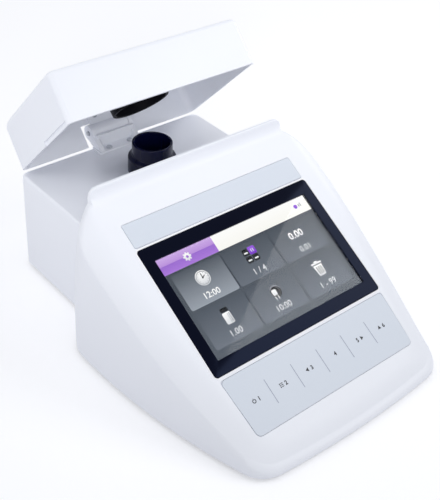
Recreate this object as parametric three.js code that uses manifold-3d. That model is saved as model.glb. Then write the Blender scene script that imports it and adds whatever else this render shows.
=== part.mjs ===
// Benchtop turbidity meter: a sloping touch console in front, a sample compartment with a hinged lid behind.
// Units are millimetres, +Z is up, the console faces -Y and the desk is z = 0.
// The sizes below are set with y = 0 at the foot of the console's rear wall; the last lines centre the model.

import * as THREE from "three";
import { mergeVertices } from "three/addons/utils/BufferGeometryUtils.js";
import Module from "manifold-3d";

const wasm = await Module();
wasm.setup();

// Shared clearances and walls
const gap = 0.3;
const overrun = 1;
const wall = 2.5;
const noseWall = 9.5;
const footLift = 3;
const roundSteps = 32;
const smallRoundSteps = 12;

// Console plan
const consoleHalfWidth = 124.3;
const sideBowRadius = 540;
const sideBowStartY = -39.5;
const frontBowRadius = 924;
const frontCornerRadius = 24;
const rearCornerRadius = 30;

// Console section
const panelHeightAtRear = 127.2;
const panelHeightAtFront = 4.558;
const panelWall = 4.5;
const shoulderSideInset = 4.8;
const shoulderFrontInset = 5.5;
const shoulderRearInset = 2.4;
const crownSideWidth = 20;
const crownFrontWidth = 11;
const crownRearWidth = 2.8;
const crownFrontCornerRadius = 18;
const crownRearCornerRadius = 12;
const crownSideDrop = 10.8;
const crownFrontDrop = 1.5;
const crownRearDrop = 2.6;
const crownFadeLength = 120;
const crownRearBlendWidth = 15;
const wallRiseShares = [0, 0.35, 0.62, 0.82, 0.93, 1];
const wallLeanPower = 3;
const crownRiseShares = [0.14, 0.32, 0.55, 0.78, 1];
const insideWallRiseShares = [0, 0.62, 0.9, 1];
const insideCrownRiseShares = [0.4, 1];

// Brow at the top of the panel, in front of the closed lid
const browSideInset = 27.3;
const browThickness = 3.4;
const browRise = 10.2;
const browFillet = 6;
const browEdge = 1.2;
const browEndRadius = 9;

// Passage between the console and the sample compartment
const passageSideInset = 15;
const passageHeight = 57;

// Display
const displaySideMargin = 47.3;
const displayHeight = 88;
const bezelSideBorder = 9.5;
const bezelTopBorder = 12;
const bezelBottomBorder = 11;
const bezelBelowHeader = 2.3;
const bezelThickness = 2.2;
const bezelProud = 0.2;
const bezelCornerRadius = 2.6;
const glassThickness = 1.7;
const screenFrameBorder = 1.2;
const screenThickness = 5.2;
const trayThickness = 1.2;
const trayMargin = 9.5;
const trayPostRadius = 3.5;
const displayBoardSideInset = 18;
const displayBoardEndInset = 11;
const boardThickness = 1.6;
const trayStudHeight = 1.8;

// Header strip above the display
const headerSideMargin = 38.6;
const headerHeight = 21;
const headerTopFromRear = 34.2;
const stripThickness = 0.7;
const stripRecess = 0.9;
const stripCornerRadius = 1.6;

// Keypad
const keyCount = 6;
const keypadBelowBezel = 3.3;
const keypadHeight = 47.6;
const keypadEdgeMargin = 39.1;
const keypadTaper = 3;
const keypadFrontMargin = 30.12;
const keypadCornerRadius = 4.5;
const keypadSideMargin = 2.4;
const keyRadius = 4;
const keyFlangeRadius = 5.5;
const keyFlangeThickness = 1.1;
const keyTravel = 0.4;
const switchSize = 6;
const switchHeight = 1;
const keyBoardPostGap = 1;
const keyBoardHeight = 22;
const keyBoardPostRadius = 3;

// Sample compartment housing
const boxSideStep = 29.3;
const boxRearY = 105.5;
const boxHeight = 90.6;
const boxCornerRadius = 6;
const boxFrontCornerRadius = 1;
const boxDraft = 0.8;
const boxEdgeRadius = 2.6;

// Sample port
const wellY = 46.1;
const wellBoreRadius = 15.2;
const wellWall = 2.8;
const wellFloorHeight = 21;
const wellFloorThickness = 2;
const wellFlangeRadius = 24;
const wellFlangeThickness = 2;
const collarRingRadius = 20.6;
const collarTopRadius = 17.2;
const collarRingHeight = 14.8;
const collarHeight = 27.3;
const collarEdge = 0.8;
const windowRadius = 4;

// Optics
const opticsHalfSize = 28;
const opticsBottom = 31;
const opticsHeight = 40;
const opticsLegSize = 9;
const beamHeight = 55;
const lampRadius = 7;
const lampLength = 20;
const lampFlangeRadius = 10;
const lampFlangeThickness = 2.4;
const lensRadius = 6;
const lensThickness = 3;
const detectorRadius = 5;
const detectorFlangeRadius = 8;
const detectorFlangeThickness = 2;
const opticsClearance = 0.4;

// Base plate, feet and bosses
const basePlateThickness = 3;
const plateEdgeGap = 0.4;
const bossRadius = 7.5;
const bossHeight = 26;
const screwHeadRadius = 3.4;
const screwHeadHeight = 1.5;
const screwRadius = 1.6;
const screwHoleGap = 0.3;
const screwLength = 16;
const footRadius = 9;
const footStemRadius = 3;
const footBulbRadius = 4.2;
const footBulbHeight = 1.8;
const consoleBossInset = 9.3;
const consoleBossRearY = -59.5;
const consoleBossFrontSideInset = 46.3;
const consoleBossFrontInset = 26;
const boxBossInset = 8.5;
const frontFootSideInset = 54.3;
const frontFootInset = 40;
const rearFootInset = 24;
const rearFootSideInset = 26;

// Main board
const mainBoardWidth = 150;
const mainBoardDepth = 84;
const mainBoardCentreY = -90;
const mainBoardHeight = 11;
const standoffRadius = 3.6;
const standoffInset = 6;
const processorSize = 20;
const processorHeight = 2.4;
const headerBlockLength = 34;
const headerBlockWidth = 7;
const headerBlockHeight = 8;
const cellRadius = 10;
const cellHeight = 3.2;

// Rear connectors
const socketBoardWidth = 78;
const socketBoardDepth = 20;
const socketBoardHeight = 14;
const jackX = -24;
const jackWidth = 11;
const jackHeight = 12;
const jackDepth = 14;
const jackBoreRadius = 3.2;
const jackPinRadius = 0.9;
const portX = 20;
const portWidth = 14.6;
const portHeight = 7.4;
const portDepth = 15;
const portWall = 0.7;
const socketHoleGap = 0.6;

// Lid, in its closed place
const lidRimGap = 1;
const lidHoodGap = 0.6;
const lidOverhang = 10;
const lidHeight = 42;
const lidSideStep = 2.6;
const lidFrontLean = 2.6;
const lidRearLean = 3;
const lidSideDraft = 0.9;
const lidFrontCornerRadius = 4;
const lidRearCornerRadius = 7;
const lidTopEdge = 4;
const lidRearEdgeLength = 13;
const lidRearEdgeDrop = 8;
const lidEdgeSteps = 5;
const lidOpenAngle = THREE.MathUtils.degToRad(46);
const gripLength = 46;
const gripDepth = 1.1;
const gripHeight = 3.6;

// Hinge
const hingeBehindBox = 4.5;
const hingeAboveDeck = 12;
const pinRadius = 2;
const pinHeadRadius = 3.2;
const pinHeadThickness = 1.4;
const earRadius = 7;
const earThickness = 4.5;
const earInnerX = 17;
const earFootLength = 12;
const bracketHalfWidth = 23;
const bracketDepth = 15;
const bracketThickness = 2;
const webThickness = 2.2;
const webAbovePivot = 1.4;
const barrelRadius = 6.6;
const sleeveRadius = 3.4;
const hingeClearance = 0.2;
const leafThickness = 1.6;
const leafHeight = 19;
const leafFromPivot = -0.4;
const leafScrewX = 10;
const leafScrewDrop = 5;
const smallScrewHeadRadius = 2.8;
const smallScrewHeadHeight = 1.2;
const smallScrewRadius = 1.3;
const smallScrewLength = 6;
const leafScrewLength = 4;
const bracketScrewX = 11;
const bracketBossLength = 8;
const notchHalfWidth = 25.5;
const notchClearance = 1.5;

// Light seal in the lid
const sealRadius = 25.5;
const sealWall = 2.8;
const sealHeight = 24.7;
const sealTopThickness = 2.8;
const sealPostRadius = 7;

// Derived places
const bodyBottom = footLift;
const plateTop = bodyBottom + basePlateThickness;
const panelBase = bodyBottom + panelHeightAtRear;
const deckTop = bodyBottom + boxHeight;
const lidRim = deckTop + lidRimGap;
const lidTop = lidRim + lidHeight;
const pivotY = boxRearY + hingeBehindBox;
const pivotZ = deckTop + hingeAboveDeck;
const boxHalfWidth = consoleHalfWidth - boxSideStep;
const passageHalfWidth = boxHalfWidth - passageSideInset;
const displayWidth = 2 * (consoleHalfWidth - displaySideMargin);
const displayBoardWidth = displayWidth - 2 * displayBoardSideInset;
const displayBoardHeight = displayHeight - 2 * displayBoardEndInset;
const headerWidth = 2 * (consoleHalfWidth - headerSideMargin);
const bezelWidth = displayWidth + 2 * bezelSideBorder;
const bezelHeight = displayHeight + bezelTopBorder + bezelBottomBorder;
const bezelTopFromRear = headerTopFromRear + headerHeight + bezelBelowHeader;
const keypadTopFromRear = bezelTopFromRear + bezelHeight + keypadBelowBezel;
const panelLength = keypadTopFromRear + keypadHeight + keypadFrontMargin;
const panelSlope = Math.asin((panelHeightAtRear - panelHeightAtFront) / panelLength);
const consoleDepth = panelLength * Math.cos(panelSlope);
const bezelCentre = -bezelTopFromRear - bezelHeight / 2;
const displayCentre = -bezelTopFromRear - bezelTopBorder - displayHeight / 2;
const headerCentre = -headerTopFromRear - headerHeight / 2;
const keypadCentre = -keypadTopFromRear - keypadHeight / 2;
const keypadTopWidth = 2 * (consoleHalfWidth - keypadEdgeMargin);
const keypadBottomWidth = keypadTopWidth - 2 * keypadTaper;
const keyPitch = (keypadBottomWidth - 2 * keypadSideMargin) / keyCount;
const keyBoardEnd = keyFlangeRadius + keyBoardPostGap + 2 * keyBoardPostRadius;
const keyBoardWidth = (keyCount - 1) * keyPitch + 2 * keyBoardEnd;
const keyStemTop = -stripRecess - gap / 2;
const keyFlangeTop = -panelWall - gap;
const keyFoot = keyFlangeTop - keyFlangeThickness;
const switchTop = keyFoot - keyTravel - gap / 2;
const keyBoardTop = switchTop - switchHeight;
const screenTop = bezelProud - bezelThickness - gap;
const screenBottom = screenTop - screenThickness;
const trayTop = screenBottom - gap;
const trayBottom = trayTop - trayThickness;
const displayBoardTop = trayBottom - trayStudHeight - gap;
const mainBoardTop = plateTop + mainBoardHeight + gap + boardThickness;

const up = new THREE.Vector3(0, 0, 1);
const along = { x: [0, Math.PI / 2, 0], y: [-Math.PI / 2, 0, 0], z: [0, 0, 0] };

// Geometry and booleans

/** Turns a closed three.js geometry into a manifold solid. */
function solid(geometry) {
  const bare = geometry.index ? geometry.toNonIndexed() : geometry.clone();
  bare.deleteAttribute("normal");
  bare.deleteAttribute("uv");
  const merged = mergeVertices(bare);
  const vertProperties = new Float32Array(merged.attributes.position.array);
  const triVerts = new Uint32Array(merged.index.array);
  return new wasm.Manifold(new wasm.Mesh({ numProp: 3, vertProperties, triVerts }));
}

/** Turns a manifold solid back into a three.js geometry. */
function geometryOf(body) {
  const mesh = body.getMesh();
  const geometry = new THREE.BufferGeometry();
  const positions = new Float32Array(mesh.vertProperties);
  geometry.setAttribute("position", new THREE.BufferAttribute(positions, mesh.numProp));
  geometry.setIndex(new THREE.BufferAttribute(new Uint32Array(mesh.triVerts), 1));
  geometry.computeVertexNormals();
  return geometry;
}

function join(first, ...others) {
  return others.reduce((whole, piece) => whole.add(piece), first);
}

function cut(first, ...others) {
  return others.reduce((whole, piece) => whole.subtract(piece), first);
}

function mirrored(make) {
  return [-1, 1].map((side) => make(side));
}

/** A box between two corners. */
function block(low, high) {
  const size = high.map((value, axis) => value - low[axis]);
  const geometry = new THREE.BoxGeometry(...size);
  geometry.translate(...low.map((value, axis) => value + size[axis] / 2));
  return solid(geometry);
}

/** A round bar whose axis starts at a point and runs along x, y or z for a length. */
function bar(axis, start, radius, length, steps = roundSteps) {
  const geometry = new THREE.CylinderGeometry(radius, radius, length, steps);
  geometry.rotateX(Math.PI / 2);
  geometry.translate(0, 0, length / 2);
  geometry.rotateX(along[axis][0]);
  geometry.rotateY(along[axis][1]);
  geometry.translate(...start);
  return solid(geometry);
}

/** A turned piece about +Z from a closed profile of radius and height pairs. */
function turned(profile, steps = roundSteps) {
  const points = profile.map(([radius, height]) => new THREE.Vector2(radius, height));
  const closed = profile[0][0] > 0 ? [...points, points[0].clone()] : points;
  const geometry = new THREE.LatheGeometry(closed, steps);
  geometry.rotateX(Math.PI / 2);
  return solid(geometry);
}

function moved(body, x, y, z) {
  return body.translate([x, y, z]);
}

/** The outline of a polygon with its corners rounded. */
function roundedPolygon(corners, radius) {
  const shape = new THREE.Shape();
  corners.forEach(([x, y], index) => {
    const corner = new THREE.Vector2(x, y);
    const before = new THREE.Vector2(...corners.at(index - 1));
    const after = new THREE.Vector2(...corners[(index + 1) % corners.length]);
    const enter = corner.clone().add(before.sub(corner).setLength(radius));
    const leave = corner.clone().add(after.sub(corner).setLength(radius));
    if (index === 0) shape.moveTo(enter.x, enter.y);
    else shape.lineTo(enter.x, enter.y);
    shape.quadraticCurveTo(corner.x, corner.y, leave.x, leave.y);
  });
  shape.closePath();
  return shape;
}

/** A flat plate of an outline between two heights. */
function plate(shape, bottom, top) {
  const options = { depth: top - bottom, bevelEnabled: false, curveSegments: 6 };
  const geometry = new THREE.ExtrudeGeometry(shape, options);
  geometry.translate(0, 0, bottom);
  return solid(geometry);
}

/** A bar along x between two places, of an outline drawn in y and z. */
function alongX(shape, low, high) {
  const options = { depth: high - low, bevelEnabled: false, curveSegments: 6 };
  const geometry = new THREE.ExtrudeGeometry(shape, options);
  const turn = new THREE.Matrix4().makeBasis(new THREE.Vector3(0, 1, 0), up, new THREE.Vector3(1, 0, 0));
  geometry.applyMatrix4(turn);
  geometry.translate(low, 0, 0);
  return solid(geometry);
}

function rectangle(width, height, centreY, radius) {
  const [x, low, high] = [width / 2, centreY - height / 2, centreY + height / 2];
  return roundedPolygon([[-x, low], [x, low], [x, high], [-x, high]], radius);
}

/** A closed solid through a stack of rings with equal point counts, each counter-clockwise from above. */
function loft(rings) {
  const count = rings[0].length;
  const positions = rings.flat().flatMap((point) => [point.x, point.y, point.z]);
  const index = [];
  for (let level = 0; level + 1 < rings.length; level += 1) {
    for (let i = 0; i < count; i += 1) {
      const next = (i + 1) % count;
      const [a, b] = [level * count + i, level * count + next];
      index.push(a, b, b + count, a, b + count, a + count);
    }
  }
  const flat = (ring) => ring.map((point) => new THREE.Vector2(point.x, point.y));
  const last = (rings.length - 1) * count;
  for (const [a, b, c] of THREE.ShapeUtils.triangulateShape(flat(rings[0]), [])) index.push(c, b, a);
  for (const [a, b, c] of THREE.ShapeUtils.triangulateShape(flat(rings.at(-1)), [])) {
    index.push(last + a, last + b, last + c);
  }
  const geometry = new THREE.BufferGeometry();
  geometry.setAttribute("position", new THREE.Float32BufferAttribute(positions, 3));
  geometry.setIndex(index);
  return solid(geometry);
}

/** Points along an arc, from one angle to another, both ends included. */
function arcPoints(centreX, centreY, radius, from, to, steps) {
  return Array.from({ length: steps + 1 }, (_, i) => {
    const angle = from + ((to - from) * i) / steps;
    return new THREE.Vector2(centreX + radius * Math.cos(angle), centreY + radius * Math.sin(angle));
  });
}

/** A rounded rectangle with its own radius at the front and rear corners. */
function compartmentOutline(halfWidth, frontY, rearY, frontRadius, rearRadius) {
  const steps = 6;
  const right = Math.PI / 2;
  return [
    ...arcPoints(halfWidth - frontRadius, frontY + frontRadius, frontRadius, -right, 0, steps),
    ...arcPoints(halfWidth - rearRadius, rearY - rearRadius, rearRadius, 0, right, steps),
    ...arcPoints(-halfWidth + rearRadius, rearY - rearRadius, rearRadius, right, 2 * right, steps),
    ...arcPoints(-halfWidth + frontRadius, frontY + frontRadius, frontRadius, 2 * right, 3 * right, steps),
  ];
}

function ringAt(outline, heightOf) {
  return outline.map((point) => new THREE.Vector3(point.x, point.y, heightOf(point)));
}

// Console form

/** The console's plan outline, drawn in from its sides, front and rear. */
function consoleOutline(inset, cornerRadius, backCornerRadius) {
  const frontCentre = new THREE.Vector2(0, frontBowRadius - consoleDepth);
  const sideCentre = new THREE.Vector2(consoleHalfWidth - sideBowRadius, sideBowStartY);
  const frontRadius = frontBowRadius - inset.front;
  const sideRadius = sideBowRadius - inset.side;
  const reach = [frontRadius - cornerRadius, sideRadius - cornerRadius];
  const line = sideCentre.clone().sub(frontCentre);
  const distance = line.length();
  const share = (reach[0] ** 2 - reach[1] ** 2 + distance ** 2) / (2 * distance);
  const offset = Math.sqrt(reach[0] ** 2 - share ** 2);
  const unit = line.clone().normalize();
  const corner = frontCentre.clone().addScaledVector(unit, share);
  corner.addScaledVector(new THREE.Vector2(-unit.y, unit.x), offset);
  const frontAngle = corner.clone().sub(frontCentre).angle() - 2 * Math.PI;
  const sideAngle = corner.clone().sub(sideCentre).angle() - 2 * Math.PI;
  const rearX = consoleHalfWidth - inset.side - backCornerRadius;
  const rearY = -inset.rear - backCornerRadius;
  const right = [
    ...arcPoints(frontCentre.x, frontCentre.y, frontRadius, -Math.PI / 2, frontAngle, 7).slice(0, -1),
    ...arcPoints(corner.x, corner.y, cornerRadius, frontAngle, sideAngle, 5).slice(0, -1),
    ...arcPoints(sideCentre.x, sideCentre.y, sideRadius, sideAngle, 0, 12),
    ...arcPoints(rearX, rearY, backCornerRadius, 0, Math.PI / 2, 9),
  ];
  const left = right.slice(1).reverse().map((point) => new THREE.Vector2(-point.x, point.y));
  return [...right, ...left];
}

function panelHeight(y, lowered) {
  return panelBase + Math.tan(panelSlope) * y - lowered;
}

/** How far the crown falls from the panel plane to the shoulder line, around the console. */
function crownDrop(point) {
  const fade = Math.min(1, (point.y + consoleDepth) / crownFadeLength);
  const side = crownFrontDrop + crownSideDrop * Math.sin((Math.PI / 2) * fade);
  const rearX = consoleHalfWidth - rearCornerRadius;
  const outward = (Math.abs(point.x) - rearX) / crownRearBlendWidth;
  const blend = point.y < -rearCornerRadius ? 1 : THREE.MathUtils.smoothstep(outward, 0, 1);
  return THREE.MathUtils.lerp(crownRearDrop, side, blend);
}

/** The console's solid form: leaning walls up to a shoulder line, then a crown up to the flat panel. */
function consoleForm(thickness, panelThickness, bottom, nose = 0, wallShares = wallRiseShares,
  crownShares = crownRiseShares) {
  const draw = (side, front, rear) => ({
    side: side + thickness,
    front: front + thickness + nose,
    rear: rear + thickness,
  });
  const lowered = panelThickness / Math.cos(panelSlope);
  const foot = consoleOutline(draw(0, 0, 0), frontCornerRadius, rearCornerRadius);
  const shoulderInset = draw(shoulderSideInset, shoulderFrontInset, shoulderRearInset);
  const shoulder = consoleOutline(shoulderInset, frontCornerRadius, rearCornerRadius);
  const flatInset = draw(
    shoulderSideInset + crownSideWidth,
    shoulderFrontInset + crownFrontWidth,
    shoulderRearInset + crownRearWidth,
  );
  const flat = consoleOutline(flatInset, crownFrontCornerRadius, crownRearCornerRadius);
  const shoulderHeight = shoulder.map((point) => panelHeight(point.y, lowered) - crownDrop(point));
  const rings = wallShares.map((rise) => foot.map((point, i) => {
    const spot = point.clone().lerp(shoulder[i], rise ** wallLeanPower);
    return new THREE.Vector3(spot.x, spot.y, THREE.MathUtils.lerp(bottom, shoulderHeight[i], rise));
  }));
  for (const rise of crownShares) {
    rings.push(shoulder.map((point, i) => {
      const spot = point.clone().lerp(flat[i], rise);
      const drop = crownDrop(point) * (1 - rise) ** 2;
      return new THREE.Vector3(spot.x, spot.y, panelHeight(spot.y, lowered) - drop);
    }));
  }
  return loft(rings);
}

/** The brow: an upright lip along the top of the panel, with a fillet at its foot and rounded ends. */
function brow() {
  const rear = -shoulderRearInset - gap;
  const front = rear - browThickness;
  const foot = panelHeight(front, 0);
  const top = foot + browRise;
  const toe = front - browFillet * Math.cos(panelSlope);
  const shape = new THREE.Shape();
  shape.moveTo(toe, panelHeight(toe, panelWall));
  shape.lineTo(rear, panelHeight(rear, panelWall));
  shape.lineTo(rear, top - browEdge);
  shape.quadraticCurveTo(rear, top, rear - browEdge, top);
  shape.lineTo(front + browEdge, top);
  shape.quadraticCurveTo(front, top, front, top - browEdge);
  shape.lineTo(front, foot + browFillet);
  shape.quadraticCurveTo(front, foot, toe, panelHeight(toe, 0));
  shape.closePath();
  const halfWidth = consoleHalfWidth - browSideInset;
  const lip = alongX(shape, -halfWidth, halfWidth);
  const ends = rectangle(2 * halfWidth, top, top / 2, browEndRadius);
  return lip.intersect(plate(ends, 0, -toe).rotate([90, 0, 0]));
}

const panelFrame = new THREE.Matrix4().makeRotationX(panelSlope).setPosition(0, 0, panelBase);

/** Places a solid made in the panel's own frame, whose z = 0 is the panel and whose y runs up the slope. */
function onPanel(body) {
  return solid(geometryOf(body).applyMatrix4(panelFrame));
}

const keypadCorners = [
  [-keypadBottomWidth / 2, keypadCentre - keypadHeight / 2],
  [keypadBottomWidth / 2, keypadCentre - keypadHeight / 2],
  [keypadTopWidth / 2, keypadCentre + keypadHeight / 2],
  [-keypadTopWidth / 2, keypadCentre + keypadHeight / 2],
];
const keyPlaces = Array.from({ length: keyCount }, (_, i) => (i - (keyCount - 1) / 2) * keyPitch);

/** The keypad's outline, grown or shrunk all round. */
function keypadShape(grow) {
  const corners = keypadCorners.map(([x, y]) => {
    return [x + Math.sign(x) * grow, y + Math.sign(y - keypadCentre) * grow];
  });
  return roundedPolygon(corners, keypadCornerRadius + grow);
}

const consoleBossRearX = consoleHalfWidth - consoleBossInset;
const consoleBossFrontX = consoleHalfWidth - consoleBossFrontSideInset;
const consoleBossFrontY = -consoleDepth + consoleBossFrontInset;
const consoleBosses = [
  ...mirrored((side) => [side * consoleBossRearX, consoleBossRearY, bossHeight]),
  ...mirrored((side) => [side * consoleBossFrontX, consoleBossFrontY, 0]),
];
const boxBosses = mirrored((side) => side * (boxHalfWidth - boxBossInset)).flatMap((x) => [
  [x, boxBossInset, bossHeight],
  [x, boxRearY - boxBossInset, bossHeight],
]);
const screwHoleRadius = screwRadius + screwHoleGap;
const smallHoleRadius = smallScrewRadius + screwHoleGap;

const trayPosts = mirrored((side) => side * (displayWidth / 2 + trayMargin - trayPostRadius)).flatMap((x) =>
  mirrored((side) => [x, displayCentre + side * (displayHeight / 2 + trayMargin - trayPostRadius)]));
const keyBoardPosts = mirrored((side) => side * (keyBoardWidth / 2 - keyBoardPostRadius))
  .flatMap((x) => [[x, keypadCentre]]);

function consoleHousing() {
  const outer = consoleForm(0, 0, bodyBottom);
  const inner = consoleForm(wall, panelWall, bodyBottom - overrun, noseWall, insideWallRiseShares,
    insideCrownRiseShares);
  const bosses = consoleBosses.map(([x, y, height]) => {
    const top = height > 0 ? plateTop + height : panelHeight(y, panelWall);
    return bar("z", [x, y, plateTop + gap], bossRadius, top - plateTop - gap, smallRoundSteps);
  });
  const insideOuter = (body) => body.intersect(consoleForm(wall / 2, panelWall / 2, bodyBottom));
  const holes = consoleBosses.map(([x, y]) =>
    bar("z", [x, y, bodyBottom], screwHoleRadius, screwLength, smallRoundSteps));
  const windowGap = screenFrameBorder + gap;
  const cutters = [
    plate(rectangle(bezelWidth + 2 * gap, bezelHeight + 2 * gap, bezelCentre, bezelCornerRadius),
      bezelProud - bezelThickness - gap, overrun),
    plate(rectangle(displayWidth + 2 * windowGap, displayHeight + 2 * windowGap, displayCentre, gap),
      -panelWall - overrun, overrun),
    plate(rectangle(headerWidth + 2 * gap, headerHeight + 2 * gap, headerCentre, stripCornerRadius),
      -stripRecess, overrun),
    plate(keypadShape(gap), -stripRecess, overrun),
    ...keyPlaces.map((x) => bar("z", [x, keypadCentre, -panelWall - overrun], keyRadius + gap,
      panelWall + 2 * overrun, smallRoundSteps)),
  ];
  const posts = keyBoardPosts.map(([x, y]) => {
    const length = -panelWall + wall / 2 - keyBoardTop - gap;
    return bar("z", [x, y, keyBoardTop + gap], keyBoardPostRadius, length, smallRoundSteps);
  });
  const passage = block([-passageHalfWidth, -2 * wall - shoulderRearInset, 0],
    [passageHalfWidth, overrun, bodyBottom + passageHeight]);
  let shell = join(cut(outer, inner), insideOuter(join(...bosses)), brow());
  shell = cut(shell, ...holes, passage);
  shell = join(shell, ...posts.map(onPanel));
  const postHoleLength = -panelWall - keyBoardTop + wall / 2;
  const postHoles = keyBoardPosts.map(([x, y]) =>
    bar("z", [x, y, keyBoardTop], smallHoleRadius, postHoleLength, smallRoundSteps));
  return cut(shell, ...cutters.map(onPanel), ...postHoles.map(onPanel));
}

// Pieces on the sloping panel, made in the panel's own frame

function displayBezel() {
  const bottom = bezelProud - bezelThickness;
  const outer = plate(rectangle(bezelWidth, bezelHeight, bezelCentre, bezelCornerRadius), bottom, bezelProud);
  const window = plate(rectangle(displayWidth, displayHeight, displayCentre, gap), bottom - overrun, overrun);
  return cut(outer, window);
}

function displayGlass() {
  const shape = rectangle(displayWidth - 2 * gap, displayHeight - 2 * gap, displayCentre, gap);
  return plate(shape, bezelProud - gap / 2 - glassThickness, bezelProud - gap / 2);
}

function screenModule() {
  const width = displayWidth + 2 * screenFrameBorder;
  const height = displayHeight + 2 * screenFrameBorder;
  return plate(rectangle(width, height, displayCentre, gap), screenBottom, screenTop);
}

function screenTray() {
  const base = plate(rectangle(displayWidth + 2 * trayMargin, displayHeight + 2 * trayMargin, displayCentre,
    trayPostRadius), trayBottom, trayTop);
  const posts = trayPosts.map(([x, y]) =>
    bar("z", [x, y, trayBottom], trayPostRadius, -panelWall - gap - trayBottom, smallRoundSteps));
  const studs = mirrored((side) => side * (displayBoardWidth / 2 - standoffInset)).flatMap((x) =>
    mirrored((side) => bar("z",
      [x, displayCentre + side * (displayBoardHeight / 2 - standoffInset), displayBoardTop + gap],
      standoffRadius, trayStudHeight + trayThickness / 2, smallRoundSteps)));
  return join(base, ...posts, ...studs);
}

function displayBoard() {
  const board = plate(rectangle(displayBoardWidth, displayBoardHeight, displayCentre, gap),
    displayBoardTop - boardThickness, displayBoardTop);
  const underside = displayBoardTop - boardThickness;
  const chip = block([-processorSize / 2, displayCentre - processorSize / 2, underside - processorHeight],
    [processorSize / 2, displayCentre + processorSize / 2, underside + boardThickness / 2]);
  return join(board, chip);
}

function headerStrip() {
  const shape = rectangle(headerWidth, headerHeight, headerCentre, stripCornerRadius);
  return plate(shape, -stripRecess + gap, -stripRecess + gap + stripThickness);
}

function keypadOverlay() {
  return plate(keypadShape(0), -stripRecess + gap, -stripRecess + gap + stripThickness);
}

function keyPlunger(x) {
  const profile = [
    [0, keyFoot],
    [keyFlangeRadius, keyFoot],
    [keyFlangeRadius, keyFlangeTop],
    [keyRadius, keyFlangeTop],
    [keyRadius, keyStemTop],
    [0, keyStemTop],
  ];
  return moved(turned(profile, smallRoundSteps), x, keypadCentre, 0);
}

function keyBoard() {
  const board = plate(rectangle(keyBoardWidth, keyBoardHeight, keypadCentre, gap),
    keyBoardTop - boardThickness, keyBoardTop);
  const half = switchSize / 2;
  const foot = keyBoardTop - boardThickness / 2;
  const switches = keyPlaces.map((x) =>
    block([x - half, keypadCentre - half, foot], [x + half, keypadCentre + half, switchTop]));
  const under = keyBoardTop - boardThickness - overrun;
  const holes = keyBoardPosts.map(([x, y]) =>
    bar("z", [x, y, under], smallHoleRadius, boardThickness + 2 * overrun, smallRoundSteps));
  return cut(join(board, ...switches), ...holes);
}

/** A pan-head screw along +Z from under its head at z = 0, with its head below. */
function screw(headRadius, headHeight, radius, length) {
  return turned([
    [0, -headHeight],
    [headRadius * 0.8, -headHeight],
    [headRadius, -headHeight / 2],
    [headRadius, 0],
    [radius, 0],
    [radius, length - radius],
    [0, length],
  ], smallRoundSteps);
}

function smallScrew(length = smallScrewLength) {
  return screw(smallScrewHeadRadius, smallScrewHeadHeight, smallScrewRadius, length);
}

function keyBoardScrews() {
  const under = keyBoardTop - boardThickness - gap;
  const length = -panelWall + wall / 4 - under;
  return keyBoardPosts.map(([x, y]) => moved(smallScrew(length), x, y, under));
}

// Sample compartment

/** A moulded box form with draft and a rounded top edge. */
function compartmentForm(thickness, bottom, top) {
  const front = gap + thickness;
  const outline = (inset) => compartmentOutline(
    boxHalfWidth - thickness - inset,
    front,
    boxRearY - thickness - inset,
    boxFrontCornerRadius,
    boxCornerRadius - thickness,
  );
  const edgeSteps = 4;
  const rings = [ringAt(outline(0), () => bottom)];
  for (let i = 0; i <= edgeSteps; i += 1) {
    const angle = (Math.PI / 2) * (i / edgeSteps);
    const inset = boxDraft + boxEdgeRadius * (1 - Math.cos(angle));
    const height = top - boxEdgeRadius * (1 - Math.sin(angle));
    rings.push(ringAt(outline(inset), () => height));
  }
  return loft(rings);
}

const collarSkirtRadius = wellBoreRadius + wellWall + gap;
const bracketFrontY = boxRearY - boxCornerRadius / 2 - bracketDepth + wall;
const bracketScrewY = bracketFrontY + smallScrewHeadRadius + overrun;
const jackCentreZ = plateTop + socketBoardHeight + gap + boardThickness + gap + jackHeight / 2;
const portCentreZ = plateTop + socketBoardHeight + gap + boardThickness + gap + portHeight / 2;

/** The hole in the rear wall round a connector. */
function socketHole(x, z, width, height) {
  const [halfWidth, halfHeight] = [width / 2 + socketHoleGap, height / 2 + socketHoleGap];
  return block([x - halfWidth, boxRearY - 2 * wall, z - halfHeight],
    [x + halfWidth, boxRearY + overrun, z + halfHeight]);
}

function compartmentHousing() {
  const outer = compartmentForm(0, bodyBottom, deckTop);
  const inner = compartmentForm(wall, bodyBottom - overrun, deckTop - wall);
  const bosses = boxBosses.map(([x, y, height]) =>
    bar("z", [x, y, plateTop + gap], bossRadius, height, smallRoundSteps).intersect(outer));
  const bossFoot = deckTop - wall - bracketBossLength;
  const deckBosses = mirrored((side) => bar("z", [side * bracketScrewX, bracketScrewY, bossFoot],
    standoffRadius, bracketBossLength + wall / 2, smallRoundSteps));
  const holes = [
    ...boxBosses.map(([x, y]) =>
      bar("z", [x, y, bodyBottom], screwHoleRadius, screwLength, smallRoundSteps)),
    ...mirrored((side) => bar("z", [side * bracketScrewX, bracketScrewY, bossFoot + wall],
      smallHoleRadius, bracketBossLength + overrun, smallRoundSteps)),
    bar("z", [0, wellY, deckTop - 2 * wall], collarSkirtRadius + gap, 3 * wall),
    block([-passageHalfWidth, -overrun, 0], [passageHalfWidth, 2 * wall, bodyBottom + passageHeight]),
    socketHole(jackX, jackCentreZ, jackWidth, jackHeight),
    socketHole(portX, portCentreZ, portWidth, portHeight),
  ];
  return cut(join(cut(outer, inner), ...bosses, ...deckBosses), ...holes);
}

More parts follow.
